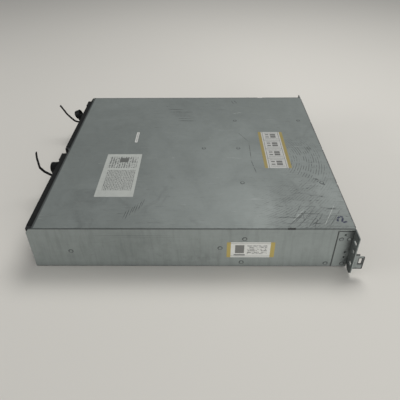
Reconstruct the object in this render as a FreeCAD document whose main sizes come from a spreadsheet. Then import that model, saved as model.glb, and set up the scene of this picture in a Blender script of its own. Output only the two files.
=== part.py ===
# Storage array: a 2U rack enclosure for twelve 3.5 inch drives, with two half-width
# controllers and two half-width power supplies behind them.
# Millimetres, +Z up. The front with the drives faces -Y and the power supplies face +Y.
# The origin is in the middle of the bottom sheet: X across, Y from front to back.
import FreeCAD, Part
import math
import os
import re
import Sketcher

COLUMNS = 4
ROWS = 3
SIDES = ("a", "b")
FAN_BLADES = 7
RIVET_SIDES = 8
PIN_SIDES = 8
DUCT_SIDES = 24
NEAR = 0.01  # how close an edge's middle is to the place that a test names

SIZES = {
    # Enclosure
    "side_room": 6.5,  # width over the walls beyond the columns of bays
    "height": 86.4,  # bottom sheet to the top of the cover
    "sheet": 1.2,  # steel of the tray and of the centre wall
    "lid": 1.0,  # steel of the cover
    "front_end": 254.0,  # middle to the tray's front edge
    "rear_end": 256.5,  # middle to the side walls' rear edge
    "lid_end": 246.5,  # middle to the cover's rear edge
    "lip": 9.0,  # lip folded in at the top of each side wall
    "bevel_deep": 6.0,  # bevel of the walls' rear top corner, along Y
    "bevel_tall": 8.0,  # the same bevel, along Z
    "lid_notch_at": 156.2,  # middle to the finger notch in the cover's edge
    "lid_notch": 11.6,  # length of that notch
    "lid_notch_deep": 2.2,  # depth of that notch
    "fold": 1.6,  # outside radius of the folded edges
    # Rack ears
    "ear_reach": 19.05,  # ear beside the wall, which makes a 19 inch panel
    "ear_sheet": 2.0,  # steel of the ear
    "ear_low": 2.2,  # bottom edge of the ear above the base
    "ear_high": 83.4,  # top edge of the ear above the base
    "ear_cut": 5.0,  # cut-off lower corners of the ear
    "seam": 229.0,  # middle to the seam where the ear's leg starts
    "seam_gap": 0.4,  # gap along that seam
    "tongue": 15.0,  # part of the leg that lies inside the wall
    "leg_high": 80.6,  # top edge of the ear's leg
    "rack_inset": 8.75,  # middle of the rack holes to the ear's outer edge
    "rack_low": 20.9,  # lower rack hole above the base
    "rack_pitch": 44.45,  # lower to upper rack hole
    "rack_hole": 7.0,  # width of the rack slots and size of the middle hole
    "rack_slot": 10.0,  # length of the rack slots
    "ear_mid": 47.5,  # middle hole above the base
    "leg_hole": 3.2,  # small square holes in the leg
    # Bezel catches
    "catch_sheet": 1.6,  # steel of the catch plate
    "catch_reach": 15.0,  # how far it stands in front of the ear
    "catch_low": 17.4,  # bottom edge above the base
    "catch_high": 49.6,  # top edge above the base
    "catch_step": 5.0,  # step down of the top edge at the front
    "catch_step_at": 6.5,  # that step's distance from the ear
    "catch_foot": 3.6,  # foot that lies on the ear
    "catch_slot_low": 29.0,  # window's lower end above the base
    "catch_slot_high": 41.5,  # window's upper end above the base
    "catch_slot_at": 6.6,  # window's distance from the ear
    "catch_slot": 4.8,  # width of the window
    # Drive cage
    "bay_room": 7.9,  # from one column of drives to the next, beyond a drive's width
    "row_pitch": 27.3,  # from one row of drives to the next
    "row_start": 2.5,  # bottom of the lowest bay
    "cage_sheet": 1.0,  # steel of the dividers
    "cage_front": 250.0,  # middle to the dividers' front edge
    "cage_rear": 84.4,  # middle to the dividers' rear edge
    "cage_flange": 8.0,  # flanges that the dividers are riveted by
    "ledge": 1.9,  # how far the runner ledges stand out
    "ledge_thick": 1.2,  # thickness of a ledge
    "ledge_at": 5.8,  # underside of a ledge above its bay's bottom
    "run_gap": 0.3,  # gap between a carrier's rib and its ledge
    # Drive carrier
    "bezel_room": 6.3,  # width of the front plate beyond a drive's
    "bezel_tall": 27.0,  # front plate
    "bezel_deep": 13.0,  # front plate
    "bezel_face": 256.0,  # middle to the front plate's face
    "recess_edge": 9.95,  # handle recess to the plate's left side
    "recess_end": 1.95,  # handle recess to the plate's right side
    "recess_low": 4.0,  # handle recess above the plate's bottom
    "recess_high": 18.6,  # top of the handle recess
    "recess_deep": 8.6,  # handle recess
    "vent_bar": 3.6,  # bar between two air slots in the plate
    "vent_tall": 3.6,  # air slot in the plate
    "vent_margin": 29.9,  # plate's width that isn't spanned by five steps of the slots
    "vent_at": 20.8,  # air slot above the plate's bottom
    "rail": 1.2,  # steel rail along each side of the drive
    "rail_low": 1.6,  # rail's lower edge above the bay's bottom
    "rail_high": 25.0,  # rail's upper edge
    "rib": 1.5,  # rib on the rail that runs on the ledge
    "rib_tall": 3.0,  # height of the rib
    "disk_wide": 101.6,  # 3.5 inch drive
    "disk_tall": 26.0,  # 3.5 inch drive
    "disk_long": 147.0,  # 3.5 inch drive
    "disk_low": 0.6,  # drive above the bay's bottom
    "disk_back": 3.0,  # air gap behind the front plate
    "rail_short": 2.0,  # how much the rails end before the drive does
    # Drive handle
    "pivot_inset": 7.55,  # pivot pin to the plate's right side
    "handle_pin_deep": 4.2,  # pivot pin behind the plate's face
    "handle_eye": 3.6,  # radius of the handle's eye
    "handle_pin": 2.4,  # diameter of the pivot pin
    "pin_play": 0.15,  # radial play of every lever on its pin
    "tip_inset": 12.95,  # handle's free end to the plate's left side
    "handle_thick": 4.6,  # handle
    "handle_play": 0.5,  # gap above and below the handle
    "finger_long": 17.0,  # finger scoop at the free end
    "finger_deep": 2.2,  # finger scoop
    # Midplane
    "board_front": 84.0,  # middle to the board's front face
    "board": 2.0,  # thickness of the board
    "board_inset": 4.8,  # board's end to the side wall
    "board_gap": 0.3,  # gap above and below the board
    "window_wide": 42.0,  # air window in the board
    "window_tall": 15.0,  # air window in the board
    "window_inset": 27.75,  # air window's middle to the bay's right side
    "plug_wide": 44.0,  # drive connector
    "plug_tall": 6.0,  # drive connector
    "plug_deep": 8.6,  # drive connector
    "plug_inset": 28.75,  # drive connector's middle to the bay's left side
    "port_wide": 52.0,  # controller or supply connector
    "port_tall": 9.0,  # controller or supply connector
    "port_deep": 12.0,  # controller or supply connector
    "plug_gap": 0.4,  # gap between mated connectors
    # Module bays
    "bay_gap": 0.3,  # gap between a module and what it slides along
    "shelf": 0.9,  # steel of the shelf under the supply
    "shelf_low": 42.3,  # underside of the shelf
    "shelf_end": 234.0,  # middle to the shelf's rear edge
    "guide": 9.0,  # side guides folded up from the shelf
    "wall_lip": 9.0,  # lip folded over at the top of the centre wall
    "wall_end": 250.0,  # middle to the centre wall's rear edge
    # Power supply
    "supply_left": 6.3,  # supply's inset from the module's left side
    "supply_right": 15.0,  # supply's inset from the module's right side
    "supply_tall": 40.3,  # supply
    "bezel_rear": 256.5,  # middle to the rear plate's face
    "bezel_top": 85.8,  # top of the rear plate
    "bezel_lap": 9.5,  # depth of the rear plate
    "inlet_inset": 46.1,  # mains inlet to the module's right side
    "inlet_high": 71.0,  # mains inlet above the base
    "inlet_wide": 30.0,  # inlet flange
    "inlet_tall": 22.6,  # inlet flange
    "inlet_deep": 18.0,  # inlet body
    "socket_wide": 24.4,  # inlet socket
    "socket_tall": 16.6,  # inlet socket
    "socket_deep": 15.0,  # inlet socket
    "inlet_back": 1.0,  # inlet flange behind the rear plate's face
    "fan_inset": 31.0,  # fan axis to the module's left side
    "fan_high": 64.4,  # fan axis above the base
    "fan_bore": 36.6,  # fan housing bore
    "fan_tip": 17.4,  # radius of the fan blades
    "fan_hub": 8.6,  # radius of the fan hub
    "fan_long": 9.0,  # length of the fan hub
    "fan_deep": 22.0,  # fan housing bore
    "fan_back": 3.0,  # rotor in front of the duct's floor
    "fan_spindle": 2.0,  # radius of the fan's spindle
    "grille_bar": 2.4,  # bar between two grille slots
    "grille_slot": 4.2,  # width of a grille slot
    "catch_wide": 9.0,  # supply's release catch
    "catch_inset": 18.4,  # release catch to the module's right side
    "catch_tall": 30.0,  # release catch
    "catch_foot_at": 49.0,  # release catch's lower end above the base
    "catch_thick": 4.0,  # release catch
    "catch_proud": 1.5,  # how far the release catch stands out
    "catch_play": 0.5,  # gap round the release catch
    "catch_pin": 2.0,  # diameter of the catch's stub pins
    "catch_pin_at": 4.0,  # stub pins below the catch's top
    "boss": 1.5,  # raised end of the rear plate
    "boss_wide": 21.0,  # raised end of the rear plate
    "inlet_rim": 3.0,  # how much larger the inlet's flange is than its body
    "blade": 2.0,  # half height and thickness of an inlet blade
    "fan_blade": 0.9,  # thickness of a fan blade
    # Cord strap
    "strap_wide": 5.0,  # strap that holds the mains cord
    "strap_thick": 1.6,  # strap
    "strap_root": 54.5,  # where the strap starts above the base
    "strap_back": 1.5,  # strap's pivot inside the rear plate
    "strap_eye": 2.2,  # radius of the strap's rounded end
    "strap_pin": 2.0,  # diameter of the stub pins that the strap turns on
    "strap_stub": 1.2,  # length of each stub pin
    "strap_under": 4.2,  # room below the pivot, for the strap to hang down
    "strap_over": 2.8,  # room above the pivot
    "strap_bend": 7.0,  # radius of the strap's bends
    "a_level": 18.1,  # strap a, first run, which its clamp slides along
    "a_rise": 17.0,  # strap a, second run
    "a_climb": 12.0,  # strap a, third run
    "a_upright": 21.5,  # strap a, fourth run
    "a_tip": 14.0,  # strap a, last run
    "b_level": 22.1,  # strap b, first run, which its clamp slides along
    "b_rise": 13.4,  # strap b, second run
    "b_climb": 11.6,  # strap b, third run
    "b_upright": 13.4,  # strap b, fourth run
    "b_reach": 11.4,  # strap b, fifth run
    "b_tip": 14.6,  # strap b, last run
    "clamp_rise": 20.5,  # ring's centre above the strap
    "clamp_ring": 10.0,  # ring's outside radius
    "clamp_bore": 7.4,  # ring's inside radius
    "clamp_long": 9.0,  # ring's length along the strap
    "clamp_foot": 9.4,  # width of the sleeve on the strap
    "clamp_foot_tall": 5.4,  # height of that sleeve
    "clamp_play": 0.3,  # gap round the strap in its sleeve
    "clamp_a_at": 8.2,  # clamp a along its strap
    "clamp_b_at": 13.1,  # clamp b along its strap
    "droop": 24.0,  # degrees that strap b hangs down
    # Controller
    "unit_tall": 40.5,  # controller case
    "unit_end": 245.5,  # middle to the controller's rear face
    "post_wide": 6.0,  # side flange beside the supply
    "post_root": 5.0,  # overlap of the side flange and the case
    "post_foot": 24.0,  # side flange's lower end above the base
    "post_start": 247.0,  # middle to the upper part of the side flange
    "post_end": 256.0,  # middle to the side flange's rear edge
    "post_high": 85.2,  # top of the side flange
    "window_left": 78.0,  # port window from the module's left side
    "window_long": 102.0,  # port window
    "window_low": 15.0,  # port window above the base
    "window_high": 34.0,  # port window's top above the base
    "window_deep": 16.0,  # port window
    "jack_wide": 12.4,  # network socket
    "jack_tall": 10.0,  # network socket
    "jack_pitch": 17.6,  # from socket to socket
    "link_wide": 17.4,  # drive link socket
    "link_tall": 6.6,  # drive link socket
    "link_pitch": 22.0,  # from link socket to link socket
    "jack_deep": 12.0,  # depth of all sockets
    "jack_wall": 1.0,  # shell round each socket
    "vent_slot": 3.4,  # width of an air slot in the rear face
    "vent_long": 20.0,  # height of an air slot in the rear face
    "vent_step": 6.4,  # air slot to air slot
    "vent_rise": 2.0,  # air slots' middle above the port window's
    # Ejector
    "eject_inset": 6.6,  # pivot pin to the controller's side
    "eject_out": 4.2,  # from the rear face out to the pivot pin
    "eject_low": 9.0,  # ejector's lower edge above the base
    "eject_tall": 9.0,  # ejector
    "eject_eye": 3.6,  # radius of the ejector's eye
    "eject_pin": 2.6,  # diameter of the pivot pin
    "eject_long": 58.0,  # pivot to the ejector's end
    "eject_thick": 4.4,  # ejector
    "eject_ear": 1.8,  # thickness of the two bracket ears
    # Rivets
    "rivet": 2.6,  # radius of a rivet head
    "rivet_high": 0.6,  # height of a rivet head
    "rivet_front": 228.0,  # front rivets of the dividers
    "rivet_rear": 89.0,  # rear rivets of the dividers
}

V = FreeCAD.Vector
doc = FreeCAD.newDocument("StorageArray")
sheet = doc.addObject("Spreadsheet::Sheet", "Sizes")


def fill_sheet():
    """Write every size into the sheet, with its name as the cell's alias."""
    for row, (alias, value) in enumerate(SIZES.items(), 1):
        sheet.set(f"A{row}", alias)
        sheet.set(f"B{row}", str(value))
        sheet.setAlias(f"B{row}", alias)
    doc.recompute()


WORD = re.compile(r"[a-z][a-z_]*")

# Lengths that follow from the sizes above, down to the width of one drive.
LINKED = {
    "bay_pitch": "(disk_wide+bay_room)",
    "width": f"({COLUMNS}*bay_pitch+side_room)",
    "panel": "(width+2*ear_reach)",
    "rack_span": "(panel-2*rack_inset)",
    "bezel_wide": "(disk_wide+bezel_room)",
    "recess_left": "(bezel_wide/2-recess_edge)",
    "recess_right": "(bezel_wide/2-recess_end)",
    "handle_pivot": "(bezel_wide/2-pivot_inset)",
    "handle_tip": "(bezel_wide/2-tip_inset)",
    "vent_pitch": "((bezel_wide-vent_margin)/5)",
    "vent_wide": "(vent_pitch-vent_bar)",
    "window_at": "(bay_pitch/2-window_inset)",
    "plug_at": "(bay_pitch/2-plug_inset)",
}

# Lengths that follow from the driving sizes and that several pieces share.
INNER = "(width/2-sheet)"
LID_LOW = "(height-lid)"
UNIT_LOW = "(sheet+bay_gap)"
UNIT_HIGH = "(sheet+bay_gap+unit_tall)"
SHELF_HIGH = "(shelf_low+shelf)"
SUPPLY_LOW = "(shelf_low+shelf+bay_gap)"
SUPPLY_HIGH = "(shelf_low+shelf+bay_gap+supply_tall)"
MODULE_LEFT = "(-width/2+sheet+bay_gap)"
MODULE_RIGHT = "(-sheet/2-bay_gap)"
MODULE_STEP = "(width/2-sheet/2)"
SUPPLY_LEFT = "(-width/2+sheet+bay_gap+supply_left)"
SUPPLY_RIGHT = "(-sheet/2-bay_gap-supply_right)"
INLET_X = "(-sheet/2-bay_gap-inlet_inset)"
FAN_X = "(-width/2+sheet+bay_gap+fan_inset)"
BOARD_REAR = "(-board_front+board)"
MODULE_FRONT = "(-board_front+board+port_deep+plug_gap)"
BEZEL_LOW = "(shelf_low+shelf+bay_gap)"
CATCH_X = "(-sheet/2-bay_gap-catch_inset-catch_wide/2)"
CATCH_PIN_Y = "(bezel_rear+catch_proud+boss-catch_thick/2)"
CATCH_PIN_Z = "(catch_foot_at+catch_tall-catch_pin_at)"
STRAP_Y = "(bezel_rear-strap_back)"
EJECT_PIVOTS = (f"({MODULE_LEFT}+eject_inset)", f"({MODULE_RIGHT}-eject_inset)")
DISK_FRONT = "(-bezel_face+bezel_deep+disk_back)"
RAIL_END = "(-bezel_face+bezel_deep+disk_back+disk_long-rail_short)"


def cells(text):
    """The same expression with each size's alias written as a cell of the sheet."""
    def cell(found):
        word = found.group(0)
        if word in LINKED:
            return cells(LINKED[word])
        return "Sizes." + word if word in SIZES else word
    return WORD.sub(cell, str(text))


def bind(item, **expressions):
    for path, text in expressions.items():
        item.setExpression(path.replace("__", "."), cells(text))
    return item


def body(label):
    made = doc.addObject("PartDesign::Body", "Body_" + label)
    made.Label = label
    return made


def origin_part(owner, role):
    return next(part for part in owner.Origin.OriginFeatures if part.Role == role)


def outline(owner, plane, loops, level):
    """A sketch on one origin plane, moved to a level, with every point set by the sheet."""
    sketch = owner.newObject("Sketcher::SketchObject", owner.Label + "_sketch")
    sketch.AttachmentSupport = [(origin_part(owner, plane + "_Plane"), "")]
    sketch.MapMode = "FlatFace"
    sign = "-" if plane == "XZ" else ""
    bind(sketch, AttachmentOffset__Base__z=f"{sign}({level})")
    for loop in loops:
        if isinstance(loop, dict):
            ring(sketch, **loop)
        else:
            polygon(sketch, loop)
    return sketch


def set_point(sketch, edge, end, across, up):
    for kind, text in (("DistanceX", across), ("DistanceY", up)):
        number = sketch.addConstraint(Sketcher.Constraint(kind, -1, 1, edge, end, 1.0))
        sketch.setExpression(f"Constraints[{number}]", cells(text))


def ring(sketch, x, y, r):
    edge = sketch.addGeometry(Part.Circle(V(1, 1, 0), V(0, 0, 1), 1.0), False)
    set_point(sketch, edge, 3, x, y)
    number = sketch.addConstraint(Sketcher.Constraint("Radius", edge, 1.0))
    sketch.setExpression(f"Constraints[{number}]", cells(r))


def polygon(sketch, corners):
    count = len(corners)
    start = [V(math.cos(6.28 * i / count), math.sin(6.28 * i / count), 0) for i in range(count)]
    edges = [sketch.addGeometry(Part.LineSegment(start[i], start[(i + 1) % count]), False)
             for i in range(count)]
    for i, edge in enumerate(edges):
        sketch.addConstraint(Sketcher.Constraint("Coincident", edge, 2, edges[(i + 1) % count], 1))
        set_point(sketch, edge, 1, *corners[i])


def box(x0, x1, y0, y1):
    return [(x0, y0), (x1, y0), (x1, y1), (x0, y1)]


def centred(x, wide, y, tall):
    return box(f"{x}-({wide})/2", f"{x}+({wide})/2", f"{y}-({tall})/2", f"{y}+({tall})/2")


def many_sided(x, y, across, sides):
    """A polygon that just fits round a circle of this radius, for bores and pins out of sight."""
    turn = 360 / sides
    corner = f"({across})/cos({turn / 2})"
    return [(f"{x}+{corner}*cos({turn * n})", f"{y}+{corner}*sin({turn * n})")
            for n in range(sides)]


def pad(owner, plane, loops, low, high):
    """Material between two levels along the plane's axis."""
    made = owner.newObject("PartDesign::Pad", owner.Label + "_pad")
    made.Profile = outline(owner, plane, loops, high if plane == "XZ" else low)
    return bind(made, Length=f"({high})-({low})")


def cut(owner, plane, loops, low, high):
    """A pocket between two levels along the plane's axis."""
    made = owner.newObject("PartDesign::Pocket", owner.Label + "_cut")
    made.Profile = outline(owner, plane, loops, low if plane == "XZ" else high)
    return bind(made, Length=f"({high})-({low})")


def cut_slot(owner, plane, x, y, long, wide, low, high):
    """A slot with round ends that runs along the sketch's first axis."""
    cut(owner, plane, [centred(x, f"{long}-{wide}", y, wide)], low, high)
    ends = [{"x": f"{x}+{s}*({long}-{wide})/2", "y": y, "r": f"{wide}/2"} for s in (-1, 1)]
    cut(owner, plane, ends, low, high)


def is_line(edge, axis):
    """Whether an edge is straight and runs along the axis 0, 1 or 2."""
    if len(edge.Vertexes) != 2 or edge.Curve.TypeId != "Part::GeomLine":
        return False
    return abs(edge.tangentAt(edge.FirstParameter)[axis]) > 0.999


def middle(edge):
    box_of = edge.BoundBox
    return box_of.Center


def soften(owner, size, choose, kind="Fillet"):
    """A fillet or chamfer on the edges of the body so far that a test picks."""
    doc.recompute()
    base = owner.Tip
    names = [f"Edge{i}" for i, edge in enumerate(base.Shape.Edges, 1) if choose(edge)]
    made = owner.newObject("PartDesign::" + kind, owner.Label + "_" + kind.lower())
    made.Base = (base, names)
    return bind(made, **{"Radius" if kind == "Fillet" else "Size": size})


def mirrored(label, source):
    """The same piece on the other side of the middle plane."""
    made = doc.addObject("Part::Mirroring", "Other_" + label)
    made.Source = source
    made.Normal = V(1, 0, 0)
    made.Label = label
    return made


def group(label, pieces, x="0", y="0", z="0"):
    """A sub-part made of one or more solids, moved to its place."""
    made = doc.addObject("Part::Compound", "Set_" + label)
    made.Links = pieces
    made.Label = label
    return bind(made, Placement__Base__x=x, Placement__Base__y=y, Placement__Base__z=z)


def make_tray():
    """Bottom and side walls folded from one sheet, with a lip under the cover."""
    tray = body("chassis_tray")
    right = [("width/2", "0"), ("width/2", LID_LOW), ("width/2-lip", LID_LOW),
             ("width/2-lip", f"{LID_LOW}-sheet"), (INNER, f"{LID_LOW}-sheet"), (INNER, "sheet")]
    left = [(f"-({x})", z) for x, z in reversed(right)]
    pad(tray, "XZ", [right + left], "-front_end", "rear_end")
    cut(tray, "XZ", [box(f"-{INNER}", INNER, f"{LID_LOW}-sheet", "height")], "lid_end", "rear_end+1")
    bevel = [("rear_end-bevel_deep", LID_LOW), ("rear_end", f"{LID_LOW}-bevel_tall"),
             ("rear_end+1", f"{LID_LOW}-bevel_tall"), ("rear_end+1", "height"),
             ("rear_end-bevel_deep", "height")]
    cut(tray, "YZ", [bevel], "-width/2-1", "width/2+1")
    ear_window = [box("-front_end-1", "-seam", "sheet", "leg_high+seam_gap")]
    cut(tray, "YZ", ear_window, "-width/2-1", f"-{INNER}")
    cut(tray, "YZ", ear_window, INNER, "width/2+1")
    soften(tray, "2.5*sheet", lambda e: is_line(e, 0) and abs(middle(e).y + SIZES["seam"]) < NEAR
           and middle(e).z > SIZES["height"] / 2)
    soften(tray, "fold", lambda e: is_line(e, 1) and abs(middle(e).z) < NEAR
           and abs(middle(e).x) > tray.Shape.BoundBox.XMax - NEAR)
    return tray


def make_cover():
    """Flat cover on the lips, with a finger notch in each long edge."""
    cover = body("top_cover")
    pad(cover, "XY", [box("-width/2", "width/2", "-front_end", "lid_end")], LID_LOW, "height")
    for side in ("-1", "1"):
        notch = centred(f"{side}*width/2", "2*lid_notch_deep", "-lid_notch_at", "lid_notch")
        cut(cover, "XY", [notch], f"{LID_LOW}-1", "height+1")
    soften(cover, "lid*0.6", lambda e: is_line(e, 1) and middle(e).z > SIZES["height"] - NEAR
           and abs(middle(e).x) > cover.Shape.BoundBox.XMax - NEAR)
    return cover


# Small square holes in the ear's leg: behind its front edge and below its top edge.
LEG_HOLES = ((13.3, 7.7), (7.2, 45.9), (7.2, 57.7))


def make_ear():
    """Left rack ear: a leg set flush in the side wall, folded out in front of it."""
    ear = body("ear_left")
    inside = "-width/2+2*sheet"
    leg = [("-width/2", "-front_end"), ("-width/2", "-seam-seam_gap"),
           ("-width/2+sheet", "-seam-seam_gap"), ("-width/2+sheet", "-seam+tongue"),
           (inside, "-seam+tongue"), (inside, "-front_end")]
    pad(ear, "XY", [leg], "sheet+bay_gap", "leg_high")
    plate = [("-panel/2", "ear_low+ear_cut"), ("-panel/2+ear_cut", "ear_low"),
             ("-width/2-ear_cut", "ear_low"), (inside, "ear_low+1.5*ear_cut"),
             (inside, "ear_high"), ("-panel/2", "ear_high")]
    front = "-front_end-ear_sheet"
    pad(ear, "XZ", [plate], front, "-front_end")
    for level in ("rack_low", "rack_low+rack_pitch"):
        cut_slot(ear, "XZ", "-rack_span/2", level, "rack_slot", "rack_hole", f"{front}-1", "-front_end+1")
    cut(ear, "XZ", [{"x": "-rack_span/2", "y": "ear_mid", "r": "rack_hole/2"}],
        f"{front}-1", "-front_end+1")
    holes = [centred(f"-front_end+{behind}", "leg_hole", f"leg_high-{below}", "leg_hole")
             for behind, below in LEG_HOLES]
    cut(ear, "YZ", holes, "-width/2-1", f"{inside}+1")
    soften(ear, "2.5*sheet-seam_gap", lambda e: is_line(e, 0) and abs(middle(e).y + SIZES["seam"]
           + SIZES["seam_gap"]) < NEAR and abs(middle(e).z - SIZES["leg_high"]) < NEAR)
    soften(ear, "fold", lambda e: is_line(e, 2) and abs(middle(e).y + SIZES["front_end"]
           + SIZES["ear_sheet"]) < NEAR and middle(e).x > ear.Shape.BoundBox.XMax - NEAR)
    return ear


def make_catch():
    """Bracket on the left ear that a front cover would latch to."""
    catch = body("latch_tab_left")
    ear_face = "-front_end-ear_sheet"
    high = "catch_high-catch_step"
    plate = [(ear_face, "catch_low"), (ear_face, "catch_high"),
             (f"{ear_face}-catch_step_at", "catch_high"), (f"{ear_face}-catch_step_at", high),
             (f"{ear_face}-catch_reach", high), (f"{ear_face}-catch_reach", "catch_low")]
    pad(catch, "YZ", [plate], "-panel/2", "-panel/2+catch_sheet")
    foot = box("-panel/2", "-panel/2+catch_foot", "catch_low", "catch_high")
    pad(catch, "XZ", [foot], f"{ear_face}-catch_sheet", ear_face)
    window = box(f"{ear_face}-catch_slot_at-catch_slot", f"{ear_face}-catch_slot_at",
                 "catch_slot_low", "catch_slot_high")
    cut(catch, "YZ", [window], "-panel/2-1", "-panel/2+catch_sheet+1")
    soften(catch, "catch_sheet", lambda e: is_line(e, 0) and middle(e).y < -SIZES["front_end"]
           - SIZES["ear_sheet"] - SIZES["catch_reach"] + NEAR)
    return catch


def ledge_boxes(low_x, high_x):
    levels = [f"row_start+{row}*row_pitch+ledge_at" for row in range(ROWS)]
    return [box(low_x, high_x, level, f"{level}+ledge_thick") for level in levels]


def make_divider():
    """Upright of the drive cage: a web with two flanges and ledges on both sides."""
    wall = body("divider")
    web = box("-cage_sheet/2", "cage_sheet/2", "sheet", LID_LOW)
    pad(wall, "XZ", [web], "-cage_front", "-cage_rear")
    flanges = [box("-cage_sheet/2", "cage_flange", "sheet", "sheet+cage_sheet"),
               box("-cage_sheet/2", "cage_flange", f"{LID_LOW}-cage_sheet", LID_LOW)]
    pad(wall, "XZ", flanges, "-cage_front", "-cage_rear")
    ledges = ledge_boxes("-cage_sheet/2-ledge", "cage_sheet/2+ledge")
    pad(wall, "XZ", ledges, "-bezel_face+bezel_deep+1", "-cage_rear")
    return wall


def make_runner():
    """Upright beside the side wall: it ends below the tray's lip and has ledges inside only."""
    wall = body("side_runner")
    web = box("-cage_sheet/2", "cage_sheet/2", "sheet", f"{LID_LOW}-sheet")
    pad(wall, "XZ", [web], "-cage_front", "-cage_rear")
    flange = box("-cage_sheet/2", "cage_flange", "sheet", "sheet+cage_sheet")
    pad(wall, "XZ", [flange], "-cage_front", "-cage_rear")
    ledges = ledge_boxes("-cage_sheet/2", "cage_sheet/2+ledge")
    pad(wall, "XZ", ledges, "-bezel_face+bezel_deep+1", "-cage_rear")
    return wall


def make_sled():
    """Drive carrier: a front plate with a handle recess, and two rails with a rib each."""
    sled = body("sled")
    front = "-bezel_face"
    back = "-bezel_face+bezel_deep"
    pad(sled, "XZ", [box("-bezel_wide/2", "bezel_wide/2", "0", "bezel_tall")], front, back)
    rails = [box("-disk_wide/2-rail", "-disk_wide/2", "rail_low", "rail_high"),
             box("disk_wide/2", "disk_wide/2+rail", "rail_low", "rail_high")]
    pad(sled, "XZ", rails, back, RAIL_END)
    rib_low = "ledge_at+ledge_thick+run_gap"
    ribs = [box("-disk_wide/2-rail-rib", "-disk_wide/2-rail", rib_low, f"{rib_low}+rib_tall"),
            box("disk_wide/2+rail", "disk_wide/2+rail+rib", rib_low, f"{rib_low}+rib_tall")]
    pad(sled, "XZ", ribs, back, RAIL_END)
    recess = box("-recess_left", "recess_right", "recess_low", "recess_high")
    cut(sled, "XZ", [recess], f"{front}-1", f"{front}+recess_deep")
    vents = [centred(f"{n}*vent_pitch", "vent_wide", "vent_at+vent_tall/2", "vent_tall")
             for n in (-2.5, -1.5, -0.5, 0.5, 1.5, 2.5)]
    cut(sled, "XZ", vents, f"{front}-1", f"{back}+1")
    pin = many_sided("handle_pivot", "-bezel_face+handle_pin_deep", "handle_pin/2*cos(22.5)", PIN_SIDES)
    pad(sled, "XY", [pin], "recess_low", "recess_high")
    soften(sled, "rail", lambda e: is_line(e, 2) and abs(middle(e).y + SIZES["bezel_face"]) < NEAR
           and abs(middle(e).x) > sled.Shape.BoundBox.XMax - NEAR, "Chamfer")
    return sled


def make_disk():
    """3.5 inch drive between the rails: a cast base with a stepped top cover."""
    disk = body("disk")
    end = f"{DISK_FRONT}+disk_long"
    pad(disk, "XZ", [box("-disk_wide/2", "disk_wide/2", "disk_low", "disk_low+disk_tall-rail")],
        DISK_FRONT, end)
    lid = box("-disk_wide/2+2*rail", "disk_wide/2-2*rail", "disk_low+disk_tall-rail",
              "disk_low+disk_tall")
    pad(disk, "XZ", [lid], f"{DISK_FRONT}+2*rail", f"{end}-8*rail")
    return disk


def make_handle():
    """Swing handle in the carrier's recess, on a pin at its right end."""
    handle = body("handle")
    front = "-bezel_face"
    low = "recess_low+handle_play"
    high = "recess_high-handle_play"
    bar = box("-handle_tip", "handle_pivot", front, f"{front}+handle_thick")
    pad(handle, "XY", [bar], low, high)
    eye = {"x": "handle_pivot", "y": "-bezel_face+handle_pin_deep", "r": "handle_eye"}
    pad(handle, "XY", [eye], low, high)
    bore = many_sided(eye["x"], eye["y"], "handle_pin/2+pin_play", PIN_SIDES)
    cut(handle, "XY", [bore], f"{low}-1", f"{high}+1")
    scoop = box("-handle_tip+finger_deep", "-handle_tip+finger_deep+finger_long",
                f"{low}+finger_deep", f"{high}-finger_deep")
    cut(handle, "XZ", [scoop], f"{front}-1", f"{front}+finger_deep")
    soften(handle, "handle_thick/3", lambda e: is_line(e, 2)
           and middle(e).x < handle.Shape.BoundBox.XMin + NEAR, "Chamfer")
    return handle


def make_board():
    """Midplane board across the enclosure, with a window for the air beside each plug."""
    board = body("midplane_board")
    edge = "(width/2-board_inset)"
    face = box(f"-{edge}", edge, "sheet+board_gap", f"{LID_LOW}-sheet-board_gap")
    pad(board, "XZ", [face], "-board_front", BOARD_REAR)
    windows = [centred(f"{column - 1.5}*bay_pitch+window_at", "window_wide",
                       f"row_start+{row + 0.5}*row_pitch", "window_tall")
               for column in range(COLUMNS) for row in range(ROWS)]
    cut(board, "XZ", windows, "-board_front-1", f"{BOARD_REAR}+1")
    return board


def make_plugs():
    """Connectors on the midplane: one for each drive in front, four for the modules behind."""
    plug = body("drive_plug")
    face = centred("-plug_at", "plug_wide", "disk_low+plug_tall", "plug_tall")
    pad(plug, "XZ", [face], "-board_front-plug_deep", "-board_front")
    key = centred("-plug_at", "plug_wide-4*rail", "disk_low+plug_tall", "plug_tall/3")
    cut(plug, "XZ", [key], "-board_front-plug_deep-1", "-board_front-plug_deep/3")
    plugs = [group(f"plug_{column}_{row}", [plug], f"{column - 1.5}*bay_pitch", "0",
                   f"row_start+{row}*row_pitch")
             for column in range(COLUMNS) for row in range(ROWS)]
    middle_x = f"({MODULE_LEFT}+{MODULE_RIGHT})/2"
    for row in (1, 2):
        port = body(f"module_port_{row}")
        face = centred(middle_x, "port_wide", f"row_start+{row}*row_pitch", "port_tall")
        pad(port, "XZ", [face], BOARD_REAR, f"{BOARD_REAR}+port_deep")
        plugs += [port, group(f"module_port_b_{row}", [port], MODULE_STEP)]
    return group("midplane_connectors", plugs)


def make_centre_wall():
    """Upright between the two modules, with a lip folded over at the top."""
    wall = body("centre_divider")
    start = f"{BOARD_REAR}+bay_gap"
    pad(wall, "XZ", [box("-sheet/2", "sheet/2", "sheet", LID_LOW)], start, "wall_end")
    lip = box("sheet/2", "sheet/2+wall_lip", f"{LID_LOW}-sheet", LID_LOW)
    pad(wall, "XZ", [lip], start, "shelf_end")
    return wall


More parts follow.
